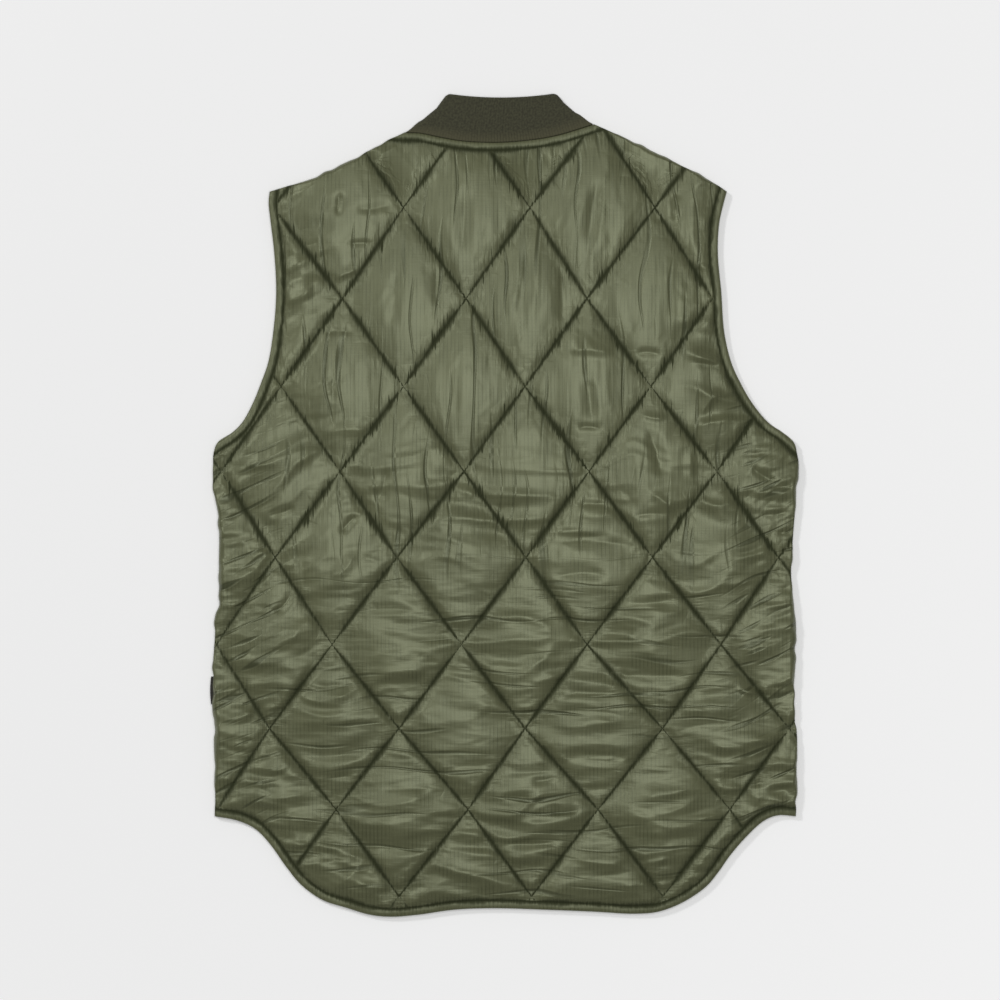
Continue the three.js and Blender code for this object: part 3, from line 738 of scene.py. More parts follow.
# Edges of the vest at one spacing of points
def vest_edges(step):
    edges = {"hem": curve_through(HEM, step), "neck": curve_through(NECK, step)}
    for hand, column, neck_x in (("left", 1, NECK_LEFT), ("right", 2, NECK_RIGHT)):
        reach = ARMHOLE[0][column] - neck_x
        shoulder = [(neck_x + reach * row[0], row[column]) for row in SHOULDER]
        edges[hand + "_shoulder"] = curve_through(shoulder, step)
        edges[hand + "_armhole"] = curve_through(edge_points(ARMHOLE, column), step)
        edges[hand + "_side"] = curve_through(edge_points(SIDE, column), step)
    return edges


FALLING, RISING, DIAMONDS = quilting()
FALLING_SEAMS = segments_of(*FALLING)
RISING_SEAMS = segments_of(*RISING)

EDGES = vest_edges(STEP)
COARSE_EDGES = vest_edges(COARSE_STEP)
LEFT_ARMHOLE, RIGHT_ARMHOLE = edge_points(ARMHOLE, 1), edge_points(ARMHOLE, 2)
TURNED_EDGES = [run_on(rows) for rows in (HEM, NECK, LEFT_ARMHOLE[:-1], RIGHT_ARMHOLE[:-1])]
TOPSTITCH_SIDES = (1, -1, 1, -1)
UNDERARM_CORNERS = (np.array(LEFT_ARMHOLE[-2:], float), np.array(RIGHT_ARMHOLE[-2:], float))
SIDE_EDGES = (COARSE_EDGES["left_side"], COARSE_EDGES["right_side"])
SHOULDER_EDGES = (COARSE_EDGES["left_shoulder"], COARSE_EDGES["right_shoulder"])
TURNED = segments_of(*(evenly(edge, COARSE_STEP) for edge in TURNED_EDGES))
ROLLED = segments_of(*SIDE_EDGES, *SHOULDER_EDGES, *UNDERARM_CORNERS)
SIDES = segments_of(*SIDE_EDGES)
SHOULDERS = segments_of(*SHOULDER_EDGES)
BACK_OUTLINE = join_edges(
    EDGES["hem"],
    EDGES["right_side"][::-1],
    EDGES["right_armhole"][::-1],
    EDGES["right_shoulder"][::-1],
    EDGES["neck"][::-1],
    EDGES["left_shoulder"],
    EDGES["left_armhole"],
    EDGES["left_side"],
)


# Signed distances of points from the quilting seams, distances from an edge, and the lengths run along each
def seam_places(points, edge):
    places = {}
    for name, seams in (("falling", FALLING_SEAMS), ("rising", RISING_SEAMS), ("turned", edge)):
        places[name], places[name + "_along"] = nearest(points, seams)
    places["turned"] = np.abs(places["turned"])
    return places


# Distances of points from the turned edges and from the rolled ones
def edge_distances(points):
    return [np.abs(nearest(points, edges)[0]) for edges in (TURNED, ROLLED)]


# Uneven run of a seam, which fades out inside it
def unevenness(flat, seams, seed):
    edge, along = nearest(flat, seams)
    return SIDE_WAVER * np.exp(-np.abs(edge) / SIDE_WAVER_FADE) * wander(along / SIDE_WAVE, seed)


# Points with the uneven run of the side and shoulder seams
def wavered(flat):
    x, y = np.abs(flat[:, 0]), flat[:, 1]
    low, high = SHOULDER_WAVER_PLACE
    side_ends = smooth(0, WAVER_EASE, y - SIDE[-1][0]) * smooth(0, WAVER_EASE, SIDE[0][0] - y)
    shoulder_ends = smooth(low, low + WAVER_EASE, x) * smooth(high, high - WAVER_EASE, x)
    across = unevenness(flat, SIDES, 61) * side_ends
    up = unevenness(flat, SHOULDERS, 62) * shoulder_ends
    return flat + np.column_stack([across, up])


# Share of the full puff at a distance from a seam
def puff_share(distance):
    place = np.clip(np.abs(distance) / PUFF_REACH, 0, 1)
    return (1 - (1 - place) ** 2) ** PUFF_POWER


# Crest line of a fold, through its three points
def fold_line(fold, count=10):
    start, by, end = np.reshape(fold[:6], (3, 2)) * (1, -1) + (-PHOTO_X, PHOTO_Y)
    return pulled_curve(start, 2 * by - (start + end) / 2, end, count)


# Points along the crests of the folds and close beside them
def crest_points():
    crests = [evenly(fold_line(fold, 30), CREST_STEP) for fold in FOLDS]
    gaps = (0, CREST_BESIDE, -CREST_BESIDE)
    return np.vstack([line_beside(crest, gap) for crest in crests for gap in gaps])


# Points of one list that keep a distance from every point of another
def clear_of(points, others, gap):
    tree = KDTree(len(others))
    for index, (x, y) in enumerate(others):
        tree.insert((x, y, 0), index)
    tree.balance()
    return points[[tree.find((x, y, 0))[2] > gap for x, y in points]]


# Height of one fold at the points near it
def add_fold(height, points, fold):
    left, right, rise = fold[6:]
    line = fold_line(fold)
    length = np.hypot(*np.diff(line, axis=0).T).sum()
    widen = max(FOLD_LEAST_WIDEN, min(FOLD_WIDEN, FOLD_SHORT * length / max(left, right)))
    left, right = widen * left, widen * right
    reach = max(left, right)
    low, high = line.min(axis=0) - reach, line.max(axis=0) + reach
    near = np.flatnonzero(((points > low) & (points < high)).all(axis=1))
    signed, along = nearest(points[near], segments_of(line))
    share = along / length
    taper = smooth(0, FOLD_END, share) * smooth(0, FOLD_END, 1 - share)
    across = np.abs(signed) / np.where(signed > 0, left, right)
    across = np.clip(np.hypot(across, FOLD_CREST) - FOLD_CREST, 0, 1)
    height[near] += FOLD_LIFT * rise * taper * (1 - across) ** FOLD_SHARPNESS


# Direction that a small crease runs in
def crease_angle(x, y):
    if y > UPRIGHT_ABOVE:
        kind = "upright" if abs(x) < CREASE_SIDES else "armhole"
    elif x < -CREASE_SIDES:
        kind = "left"
    else:
        kind = "waist" if y > LEVEL_BELOW else "low"
    return math.radians(rng.normal(*CREASE_ANGLES[kind]))


# Height of one small crease at the points near it
def add_crease(height, points, middle, angle, length, reach, rise):
    half = length / 2
    near = np.flatnonzero((np.abs(points - middle) < half + reach).all(axis=1))
    dx, dy = (points[near] - middle).T
    along = dx * math.cos(angle) + dy * math.sin(angle)
    bend = rng.uniform(-CREASE_BEND, CREASE_BEND) * along**2
    across = dy * math.cos(angle) - dx * math.sin(angle) + bend
    taper = np.clip(1 - (along / half) ** 2, 0, 1)
    share = taper * np.clip(1 - np.abs(across) / reach, 0, 1) ** FOLD_SHARPNESS
    height[near] += rise * rng.choice((-1, 1)) * share


def add_creases(height, points):
    low, high = points.min(axis=0), points.max(axis=0)
    for _ in range(CREASE_COUNT):
        middle = rng.uniform(low, high)
        angle = crease_angle(*middle)
        sizes = [rng.uniform(*span) for span in (CREASE_LENGTH, CREASE_REACH, CREASE_RISE)]
        add_crease(height, points, middle, angle, *sizes)
    for _ in range(SIDE_CREASE_COUNT):
        x = rng.choice((-1, 1)) * (SIDE[-1][2] - rng.uniform(*SIDE_CREASE_IN))
        y = rng.uniform(*SIDE_CREASE_UP)
        angle = math.radians(rng.normal(SIDE_CREASE_LEAN * smooth(*SIDE_CREASE_UP, y), SIDE_CREASE_SPREAD))
        sizes = [rng.uniform(*span) for span in (SIDE_CREASE_LENGTH, SIDE_CREASE_REACH, SIDE_CREASE_RISE)]
        add_crease(height, points, (x, y), angle, *sizes)


# Crested ripples of one kind, with finer ones between them
def crested(along, across, kind, seed):
    length, pitch, rise = kind
    shorter, closer, share = FINE_RIPPLES
    broad = 1 - 2 * np.abs(wander_over(along / length, across / pitch, seed))
    fine = 1 - 2 * np.abs(wander_over(along / length * shorter, across / pitch * closer, seed + 1))
    return rise * (broad + share * fine)


# Ripples of the satin: upright over the upper back, slanting at the left, level elsewhere
def ripples(points):
    x, y = points.T
    x = x + RIPPLE_BEND * wander_over(x / RIPPLE_BEND_SIZE, y / RIPPLE_BEND_SIZE, 51)
    y = y + RIPPLE_BEND * wander_over(x / RIPPLE_BEND_SIZE, y / RIPPLE_BEND_SIZE, 52)
    upright = smooth(*UPRIGHT_Y, y) * smooth(*UPRIGHT_X, np.abs(x))
    slanting = smooth(*SLANTING_X, x) * smooth(*SLANTING_Y, y)
    level = (1 - upright) * (1 - slanting)
    total = level * crested(x, y, LEVEL_RIPPLES, 53)
    total += slanting * crested(x + RIPPLE_SLANT * y, y - RIPPLE_SLANT * x, SLANTING_RIPPLES, 55)
    return total + upright * crested(y, x, UPRIGHT_RIPPLES, 57)


# Puckers beside a seam, in streaks whose reach from it varies
def puckers(points, distance, along, seed):
    x, y = points.T
    upright = smooth(PUCKER_TURN[1], PUCKER_TURN[0], y)
    streaks = wander_over(x / PUCKER_WIDTH, y / PUCKER_LENGTH, seed)
    level = wander_over(x / PUCKER_LENGTH, y / PUCKER_WIDTH, seed + 1)
    low, high = PUCKER_REACH
    reach = low + (high - low) * (0.5 + 0.5 * wander(along / SEAM_RUN, seed + 2)) ** 2
    fade = np.clip(1 - distance / reach, 0, 1)
    streaks = streaks * upright + LEVEL_PUCKERS * level * (1 - upright)
    return streaks * fade * smooth(0, PUCKER_START, distance)


# Puckers beside the seams of both families
def quilting_puckers(points, places, seed):
    names = ("falling", "rising")
    return sum(puckers(points, np.abs(places[name]), places[name + "_along"], seed) for name in names)


# Height of the back's outer face above its inner face
def back_rise(points, places):
    turned, rolled = places["turned"], np.abs(nearest(points, ROLLED)[0])
    beyond = turned - BAND_WIDTH
    puff = puff_share(places["falling"]) * puff_share(places["rising"])
    across = np.clip(turned / BAND_WIDTH, 0, 1)
    band = BAND_RISE * np.sqrt(1 - (2 * across - 1) ** 2)
    band *= 1 - BAND_DIPS * smooth(BAND_DIP_RARE, 1, wander(places["turned_along"] / BAND_DIP_RUN, 31))
    inside = np.clip(beyond / BAND_FADE, 0, 1) ** BAND_FADE_POWER
    seam = np.minimum(np.abs(places["falling"]), np.abs(places["rising"]))
    detail = np.zeros(len(points))
    for fold in FOLDS:
        add_fold(detail, points, fold)
    add_creases(detail, points)
    detail += ripples(points)
    detail *= smooth(0, FOLD_SEAM_FADE, seam) * smooth(0, EDGE_FADE, beyond)
    drawn = quilting_puckers(points, places, 11) * smooth(0, PUCKER_EDGE_FADE, beyond)
    beside_edge = puckers(points, np.maximum(beyond, 0), places["turned_along"], 11)
    drawn += beside_edge * smooth(0, PUCKER_SEAM_FADE, seam)
    padding = PUFF_RISE * np.minimum(puff, inside) + detail + PUCKER_RISE * drawn
    rise = WALL + np.where(beyond < 0, band, np.maximum(padding, DEEPEST))
    roll = RIM_RISE + (WALL + PUFF_RISE + 1 - RIM_RISE) * round_over(rolled, ROLL_REACH)
    roll += ROLL_DETAIL * detail * smooth(0, EDGE_FADE, rolled)
    rim = RIM_RISE + RIM_ROUND_RISE * round_over(turned, RIM_REACH)
    return np.minimum.reduce([rise, roll, np.where(turned < RIM_REACH, rim, np.inf)])


# Object made of points in millimetres and faces
def add_mesh(name, points, faces, smooth_shading=True):
    mesh = bpy.data.meshes.new(name)
    mesh.from_pydata((np.asarray(points, float) * MM).tolist(), [], [tuple(face) for face in faces])
    mesh.validate()
    mesh.update()
    if smooth_shading:
        mesh.shade_smooth()
    item = bpy.data.objects.new(name, mesh)
    bpy.context.scene.collection.objects.link(item)
    return item


def add_attribute(item, name, columns):
    values = np.column_stack(columns).astype(np.float32)
    item.data.attributes.new(name, "FLOAT_VECTOR", "POINT").data.foreach_set("vector", values.ravel())


# Distance, length run and side of each seam for the upper points, and none of them for the rest
def add_seams(item, places):
    for name in ("falling", "rising", "turned"):
        signed, along = places[name], places[name + "_along"]
        rest = np.full(len(item.data.vertices) - len(signed), FAR_FROM_SEAMS)
        columns = (np.abs(signed), along, np.where(signed > 0, 1.0, 0.0))
        add_attribute(item, name, [np.concatenate([column, rest]) for column in columns])


# Each place round a closed loop with the one after it
def loop_pairs(count):
    return [(index, (index + 1) % count) for index in range(count)]


# Triangles of points inside an outline whose points come first in the list
def triangulate(points, count):
    corners = [Vector(point) for point in points]
    vertices, _, faces, *_ = delaunay_2d_cdt(corners, loop_pairs(count), [], 0, CLOSEST, False)
    flat, faces = np.array([tuple(vertex) for vertex in vertices]), np.array(faces)
    return flat, faces[is_inside(flat[faces].mean(axis=1), flat[:count])]


# Points inside every diamond, closer together beside its seams
def cell_points():
    near = np.cumsum((0,) + SEAM_STEPS)
    middle = CELL_SPAN - 2 * near[-1]
    inner = np.linspace(near[-1], CELL_SPAN - near[-1], round(middle / CELL_STEP) + 1)
    places = np.concatenate([near[:-1], inner, (CELL_SPAN - near[::-1])[1:-1]]) / CELL_SPAN
    s, t = (grid.ravel()[:, None] for grid in np.meshgrid(places, places))
    cells = [(a * (1 - s) + b * s) * (1 - t) + (c * (1 - s) + d * s) * t for a, b, c, d in DIAMONDS]
    return np.vstack(cells)


# Triangulated points of a panel: outline, rings inside it, and inner points that keep clear of the outline
def panel_face(outline, depths, inner, clear):
    rings = [inset_points(outline, depth) for depth in depths]
    inner = inner[is_inside(inner, outline)]
    inner = inner[np.abs(nearest(inner, closed_segments(outline))[0]) > clear]
    return triangulate(np.vstack([outline, *rings, inner]), len(outline))


# Closed shell between an upper and a lower face that share an outline of count points
def shell_between(upper, upper_faces, lower, lower_faces, count):
    start = len(upper)
    walls = [(a, start + a, start + b, b) for a, b in loop_pairs(count)]
    faces = upper_faces.tolist() + (lower_faces[:, ::-1] + start).tolist() + walls
    return np.vstack([upper, lower]), faces


# Faces of a closed tube made of rings of points, with a cap at each end
def tube_faces(rings, size):
    pairs = [(ring * size + a, ring * size + b) for ring in range(rings - 1) for a, b in loop_pairs(size)]
    last = range((rings - 1) * size, rings * size)
    return [(a, a + size, b + size, b) for a, b in pairs] + [tuple(range(size)), tuple(last[::-1])]


def back_panel():
    crests = crest_points()
    cells = clear_of(cell_points(), crests, POINT_GAP)
    flat, faces = panel_face(BACK_OUTLINE, RING_DEPTHS, np.vstack([cells, crests]), CELLS_START)
    places = seam_places(flat, TURNED)
    upper = np.column_stack([wavered(flat), BACK_INSIDE + back_rise(flat, places)])
    plain, plain_faces = triangulate(BACK_OUTLINE, len(BACK_OUTLINE))
    lower = np.column_stack([wavered(plain), np.full(len(plain), BACK_INSIDE)])
    item = add_mesh("back_shell", *shell_between(upper, faces, lower, plain_faces, len(BACK_OUTLINE)))
    add_seams(item, places)
    return item


# Front neckline on one side, from the collar's fold to the centre front
def front_neckline(side, gap, count):
    start = (NECK_LEFT, NECK[0][1] - gap) if side < 0 else (NECK_RIGHT, NECK[-1][1] - gap)
    pull = (side * (FRONT_NECK_PULL[0] + gap), FRONT_NECK_PULL[1] - gap)
    return pulled_curve(start, pull, (side * COLLAR_END_GAP, FRONT_NECK_DROP - gap), count)


# Edge moved to its left by a depth that fades out at both ends, where it meets a seam
def eased_in(edge, depth):
    from_end = np.minimum(np.arange(len(edge)), np.arange(len(edge))[::-1])
    return line_beside(edge, depth * np.minimum(1, from_end * FRONT_STEP / FRONT_EASE)[:, None])


def front_outline(side, hand):
    edges = vest_edges(FRONT_STEP)
    hem = eased_in(edges["hem"], FRONT_HEM_INSET)
    centre_x = -side * PLACKET_HALF
    hem_end = (centre_x, np.interp(centre_x, *hem.T))
    hem_part = hem[(hem[:, 0] - centre_x) * side > FRONT_STEP / 2]
    centre = evenly(np.array([hem_end, (centre_x, FRONT_NECK_DROP - SEAM_GAP)]), FRONT_STEP)
    neckline = front_neckline(side, SEAM_GAP, FRONT_NECK_STEPS)
    armhole = eased_in(edges[hand + "_armhole"], -side * FRONT_ARMHOLE_INSET)
    shoulder, seam = edges[hand + "_shoulder"], edges[hand + "_side"]
    if side < 0:
        return join_edges(hem_part, centre, neckline[::-1], shoulder[1:], armhole, seam)
    return join_edges(hem_part, seam[::-1], armhole[::-1], shoulder[::-1], neckline[1:], centre[::-1])


# How far the outer face of a front is drawn up at its seams and topstitching
def front_recess(flat, places):
    edge = places["turned"]
    seam = np.minimum(np.abs(places["falling"]), np.abs(places["rising"]))
    at_seams = np.exp(-((seam / FRONT_SEAM_WIDTH) ** 2)) * smooth(BAND_WIDTH - 1, BAND_WIDTH + 1, edge)
    at_topstitching = np.exp(-(((edge - BAND_WIDTH) / FRONT_TOPSTITCH_WIDTH) ** 2))
    beyond = smooth(0, PUCKER_SEAM_FADE, edge - BAND_WIDTH)
    waves = np.maximum(quilting_puckers(flat, places, 41), 0) * beyond
    return FRONT_RECESS * np.maximum(at_seams, at_topstitching) + FRONT_PUCKER_RISE * waves


# Front panel on one side: its outer face lies on the surface, with the quilting drawn up into it
def front_panel(side):
    hand = "left" if side < 0 else "right"
    outline = front_outline(side, hand)
    flat, faces = panel_face(outline, FRONT_RING_DEPTHS, cell_points(), FRONT_RING_DEPTHS[-1] + POINT_GAP)
    places = seam_places(flat, closed_segments(outline))
    rounding = FRONT_ROUND * (1 - round_over(places["turned"], FRONT_ROUND))
    overlap = np.abs(flat[:, 0]) < PLACKET_HALF + SEAM_GAP
    low = np.where(overlap & (side > 0), PLACKET_SPLIT + SEAM_GAP / 2, 0)
    high = np.where(overlap & (side < 0), PLACKET_SPLIT - SEAM_GAP / 2, FRONT_TOP)
    drawn_up = np.minimum(front_recess(flat, places) + rounding, (high - low) * FRONT_DEEPEST)
    drawn_down = np.minimum(rounding * 0.5, (high - low) * FRONT_ROUND_DEEPEST)
    outer = np.column_stack([wavered(flat), low + drawn_up])
    inner = np.column_stack([wavered(flat), high - drawn_down])
    points, faces = shell_between(outer, faces[:, ::-1], inner, faces[:, ::-1], len(outline))
    item = add_mesh("front_shell_" + hand, points, faces)
    add_seams(item, places)
    return item


# Points on a collar fold line at each share of the way up from the neck seam
def fold_points(side, up):
    rows = np.array(COLLAR_FOLD)
    columns = (1, 2) if side < 0 else (3, 4)
    return np.column_stack([np.interp(up, rows[:, 0], rows[:, column]) for column in columns])


# Back layer of the collar at a share of the way from its left fold to its right one, up from the neck seam
def collar_back(across, up):
    left, right = fold_points(-1, up), fold_points(1, up)
    points = left + (right - left) * across
    foot_x, foot_y = points[0]
    seam_sag = np.interp(foot_x, *EDGES["neck"].T) + COLLAR_SEAM_GAP - foot_y
    top_sag = -COLLAR_TOP_SAG * 4 * across * (1 - across)
    points[:, 1] += seam_sag + (top_sag - seam_sag) * up
    return points


# Front layer of the collar on one side, at a share of the way from its fold to the centre front
def collar_front(side, along, up):
    foot_x, foot_y = FRONT_NECK_PULL
    top_x, top_y = FRONT_COLLAR_PULL
    pull = np.column_stack([side * (foot_x + (top_x - foot_x) * up), foot_y + (top_y - foot_y) * up])
    end_y = FRONT_NECK_DROP + (FRONT_COLLAR_TOP - FRONT_NECK_DROP) * up
    end = np.column_stack([np.full(len(up), side * COLLAR_END_GAP), end_y])
    return fold_points(side, up) * (1 - along) ** 2 + pull * 2 * along * (1 - along) + end * along**2


# Places along the collar: side, share of the way along it and turn of its section, in degrees
def collar_stations():
    turns = [-90 + 180 * step / TURN_STEPS for step in range(TURN_STEPS + 1)]
    stations = [(-1, 1 - step / COLLAR_FRONT_STEPS, -90) for step in range(COLLAR_FRONT_STEPS)]
    stations += [(-1, 0, turn) for turn in turns[:-1]]
    stations += [(0, step / COLLAR_COLUMNS, 90) for step in range(COLLAR_COLUMNS + 1)]
    stations += [(1, 0, turn) for turn in turns[-2::-1]]
    return stations + [(1, step / COLLAR_FRONT_STEPS, -90) for step in range(1, COLLAR_FRONT_STEPS + 1)]


# Collar: one band of rib from the centre front, over both folds and round the back
def collar():
    ups = np.linspace(0, 1, COLLAR_ROWS + 1)
    up = np.concatenate([ups, ups[::-1]])
    outer = np.arange(len(up)) <= COLLAR_ROWS
    edge = round_over((1 - up) * COLLAR_HIGH, COLLAR_ROUND)
    reach = ROLL_CENTRE - COLLAR_WALL / 2 + np.where(outer, 1, -1) * COLLAR_WALL / 2 * edge
    lean = np.radians(FOLD_LEAN * (1 - up**2))
    foot = COLLAR_FOOT + (1 - COLLAR_FOOT) * smooth(0, COLLAR_FOOT_TAPER, up)
    rings, normals = [], []
    for side, share, degrees in collar_stations():
        flat = collar_front(side, share, up) if side else collar_back(share, up)
        turn = math.radians(degrees)
        sideways = np.column_stack([side * np.cos(lean), np.sin(lean)]) * math.cos(turn)
        flat = flat + sideways * (reach * foot)[:, None]
        rings.append(np.column_stack([flat, ROLL_CENTRE + reach * math.sin(turn)]))
        normals.append(np.column_stack([sideways, np.full(len(up), math.sin(turn))]))
    rings, normals = np.array(rings), np.array(normals)
    steps = np.linalg.norm(np.diff(rings, axis=0), axis=2)
    run = np.vstack([np.zeros(len(up)), np.cumsum(steps, axis=0)])
    place = (run - run[len(run) // 2]) * (1 + RIB_FAN * (up - 0.5))
    wave = np.abs(np.cos(math.pi * place / RIB_PITCH)) ** RIB_FULLNESS
    rise = RIB_RISE * (wave - 1) * outer * edge
    points = rings + normals * rise[:, :, None]
    item = add_mesh("rib_collar", points.reshape(-1, 3), tube_faces(len(rings), len(up)))
    add_attribute(item, "rib", (place.ravel(), np.tile(up * COLLAR_HIGH, len(rings)), wave.ravel()))
    return item


# Middles of the stitches along polylines, and the directions that they run in
def stitch_places(lines):
    dense = [evenly(line, STITCH_PITCH) for line in lines]
    middles = np.vstack([(line[1:] + line[:-1]) / 2 for line in dense])
    steps = np.vstack([line[1:] - line[:-1] for line in dense])
    return middles, steps / np.hypot(*steps.T)[:, None]


# Short thread loops that sink at both ends, one for each place that has a height
def stitches(name, places, directions, height, facing=1):
    keep = np.isfinite(height)
    places, directions, height = places[keep], directions[keep], height[keep]
    sideways = np.column_stack([-directions[:, 1], directions[:, 0]])
    points = []
    for along, radius, sink in STITCH_RINGS:
        centre = places + directions * along * STITCH_LENGTH
        for quarter in range(4):
            angle = math.pi / 2 * quarter
            flat = centre + sideways * math.cos(angle) * radius * STITCH_RADIUS
            lift = (sink + math.sin(angle) * radius * STITCH_RADIUS) * facing
            points.append(np.column_stack([flat, height + lift]))
    starts = len(points) * np.arange(len(places))[:, None, None]
    faces = (np.array(tube_faces(len(STITCH_RINGS), 4)) + starts).reshape(-1, 4)
    return add_mesh(name, np.stack(points, axis=1).reshape(-1, 3), faces)


# Height of the back's outer face at its stitches, without the folds, which fade out there
def back_stitch_heights(places, start):
    turned, rolled = edge_distances(places)
    roll = RIM_RISE + (WALL + PUFF_RISE - RIM_RISE) * round_over(rolled, ROLL_REACH)
    kept = is_inside(places, BACK_OUTLINE) & (turned > start) & (rolled > 1)
    return np.where(kept, BACK_INSIDE + np.minimum(WALL, roll), np.nan)


# Height of the fronts' outer face at its stitches
def front_stitch_heights(places):
    edge = np.minimum(*edge_distances(places))
    x, y = places.T
    neck = np.vstack([front_neckline(-1, 0, 40), front_neckline(1, 0, 40)[::-1]])
    kept = is_inside(places, BACK_OUTLINE) & (edge > BAND_WIDTH + STITCH_CLEAR["band"])
    kept &= np.abs(x) > PLACKET_HALF + STITCH_CLEAR["placket"]
    kept &= y < np.interp(x, *neck.T) - STITCH_CLEAR["neck"]
    return np.where(kept, FRONT_RECESS, np.nan)


# Turned (lathed) form round an upright line, from a profile of radius and height
def lathe(name, profile, x, y):
    turns = [-2 * math.pi * step / LATHE_SIDES for step in range(LATHE_SIDES)]
    points = [(x + r * math.cos(turn), y + r * math.sin(turn), z) for r, z in profile for turn in turns]
    return add_mesh(name, points, tube_faces(len(profile), LATHE_SIDES))


# Folded strip of tape in the left side seam, bowed along its fold
def side_tab():
    places = np.linspace(0, 1, TAB_ROWS)
    outer = TAB_OUT + TAB_BOW * (1 - 4 * places * (1 - places))
    y = TAB_HIGH + (TAB_LOW - TAB_HIGH) * places
    low = BACK_INSIDE + SEAM_GAP
    points = [
        (edge_x + (TAB_IN - edge_x) * share, edge_y, low + TAB_THICK * level)
        for edge_x, edge_y in zip(outer, y)
        for share, level in TAB_SECTION
    ]
    return add_mesh("tape_tab", points, tube_faces(TAB_ROWS, len(TAB_SECTION)))


# Value of a node tree that sums can be written with
class Number:
    def __init__(self, nodes, socket):
        self.nodes = nodes
        self.socket = socket

    def __add__(self, other):
        return self.nodes.math("ADD", self, other)

    def __sub__(self, other):
        return self.nodes.math("SUBTRACT", self, other)

    def __rsub__(self, other):
        return self.nodes.math("SUBTRACT", other, self)

    def __mul__(self, other):
        return self.nodes.math("MULTIPLY", self, other)

    def __truediv__(self, other):
        return self.nodes.math("DIVIDE", self, other)

    def __pow__(self, other):
        return self.nodes.math("POWER", self, other)

    def __abs__(self):
        return self.nodes.math("ABSOLUTE", self)


# Builds a node tree from short calls
class Nodes:
    def __init__(self, name):
        self.material = bpy.data.materials.new(name)
        self.material.use_nodes = True
        self.tree = self.material.node_tree
        self.shader = self.tree.nodes["Principled BSDF"]

    def add(self, kind, inputs=None, **settings):
        node = self.tree.nodes.new("ShaderNode" + kind)
        for key, value in settings.items():
            setattr(node, key, value)
        for key, value in (inputs or {}).items():
            self.set(node.inputs[key], value)
        return node

    def set(self, socket, value):
        value = value.socket if isinstance(value, Number) else value
        if isinstance(value, bpy.types.NodeSocket):
            self.tree.links.new(value, socket)
        elif isinstance(value, tuple) and len(value) == 3 and socket.type == "RGBA":
            socket.default_value = (*value, 1)
        else:
            socket.default_value = value

    def number(self, kind, inputs, **settings):
        return Number(self, self.add(kind, inputs, **settings).outputs[0])

    def math(self, operation, *values, clamp=False):
        return self.number("Math", dict(enumerate(values)), operation=operation, use_clamp=clamp)

    def ramp(self, value, low, high, to_low=0.0, to_high=1.0):
        inputs = {"Value": value, "From Min": low, "From Max": high, "To Min": to_low, "To Max": to_high}
        return self.number("MapRange", inputs, interpolation_type="SMOOTHSTEP")

    # 1 at a distance of 0, falling to 0 at the reach
    def fall(self, distance, reach):
        return self.math("SUBTRACT", 1.0, distance / reach, clamp=True)

    def mix(self, share, one, other):
        node = self.add("Mix", {0: share, 6: one, 7: other}, data_type="RGBA")
        return node.outputs[2]

    def parts(self, vector):
        return [Number(self, socket) for socket in self.add("SeparateXYZ", {0: vector}).outputs]

    def attribute(self, name):
        return self.parts(self.add("Attribute", attribute_name=name).outputs["Vector"])

    # Object coordinates in millimetres, as one vector and as x and y
    def places(self):
        found = self.add("TexCoord").outputs["Object"]
        inputs = {0: found, 1: (1 / MM, 1 / MM, 1 / MM)}
        scaled = self.add("VectorMath", inputs, operation="MULTIPLY").outputs[0]
        x, y, _ = self.parts(scaled)
        return scaled, x, y

    def noise(self, vector, scale=1.0, detail=1.0):
        inputs = {"Vector": vector, "Scale": scale, "Detail": detail, "Roughness": 0.5}
        return self.number("TexNoise", inputs)

    # Noise of one width, height, seed and detail
    def pattern(self, x, y, width, height, seed, detail):
        place = self.add("CombineXYZ", {0: x / width, 1: y / height, 2: seed}).outputs[0]
        return self.noise(place, 1.0, detail)

    # Thin lines at one pitch: 1 on a line and 0 between
    def lines(self, place, pitch, share):
        return self.ramp(self.math("PINGPONG", place / pitch, 0.5), 0.0, share, 1.0, 0.0)

    def bump(self, height, distance, strength=1.0, normal=None):
        inputs = {"Height": height, "Distance": distance, "Strength": strength}
        if normal is not None:
            inputs["Normal"] = normal
        return self.add("Bump", inputs).outputs[0]

    def finish(self, **inputs):
        for key, value in inputs.items():
            self.set(self.shader.inputs[key.replace("_", " ")], value)
        return self.material


# Distance to the nearest seam, how strongly seams pucker the cloth, and distance to the farther family
def seam_fields(nodes, inside):
    near, fade, apart = FAR_FROM_SEAMS, 0.0, 0.0
    for name, start in (("falling", 0.0), ("rising", 0.0), ("turned", BAND_WIDTH)):
        distance, along, side = nodes.attribute(name)
        distance = abs(distance - start)
        if start == 0:
            distance += (1.0 - inside) * BAND_SHIFT
            apart = nodes.math("MAXIMUM", apart, distance)
        run = nodes.add("CombineXYZ", {0: along / SEAM_RUN, 1: 0.5, 2: side * 7.0 + start}).outputs[0]
        reach = nodes.ramp(nodes.noise(run), 0.3, 0.7, *PUCKER_SHADE_REACH)
        fade = nodes.math("MAXIMUM", fade, nodes.fall(distance, reach))
        near = nodes.math("MINIMUM", near, distance)
    return near, fade, apart


# Thin creases that run straight along one direction and taper at both ends: 1 in a crease and 0 elsewhere
def thin_creases(nodes, along, across, seed, length=THIN_CREASE_LENGTH, rare=THIN_CREASE_RARE):
    field = nodes.pattern(along, across, length, THIN_CREASE_WIDTH, seed, 0.0)
    return nodes.ramp(field, rare, rare + THIN_CREASE_SOFT)


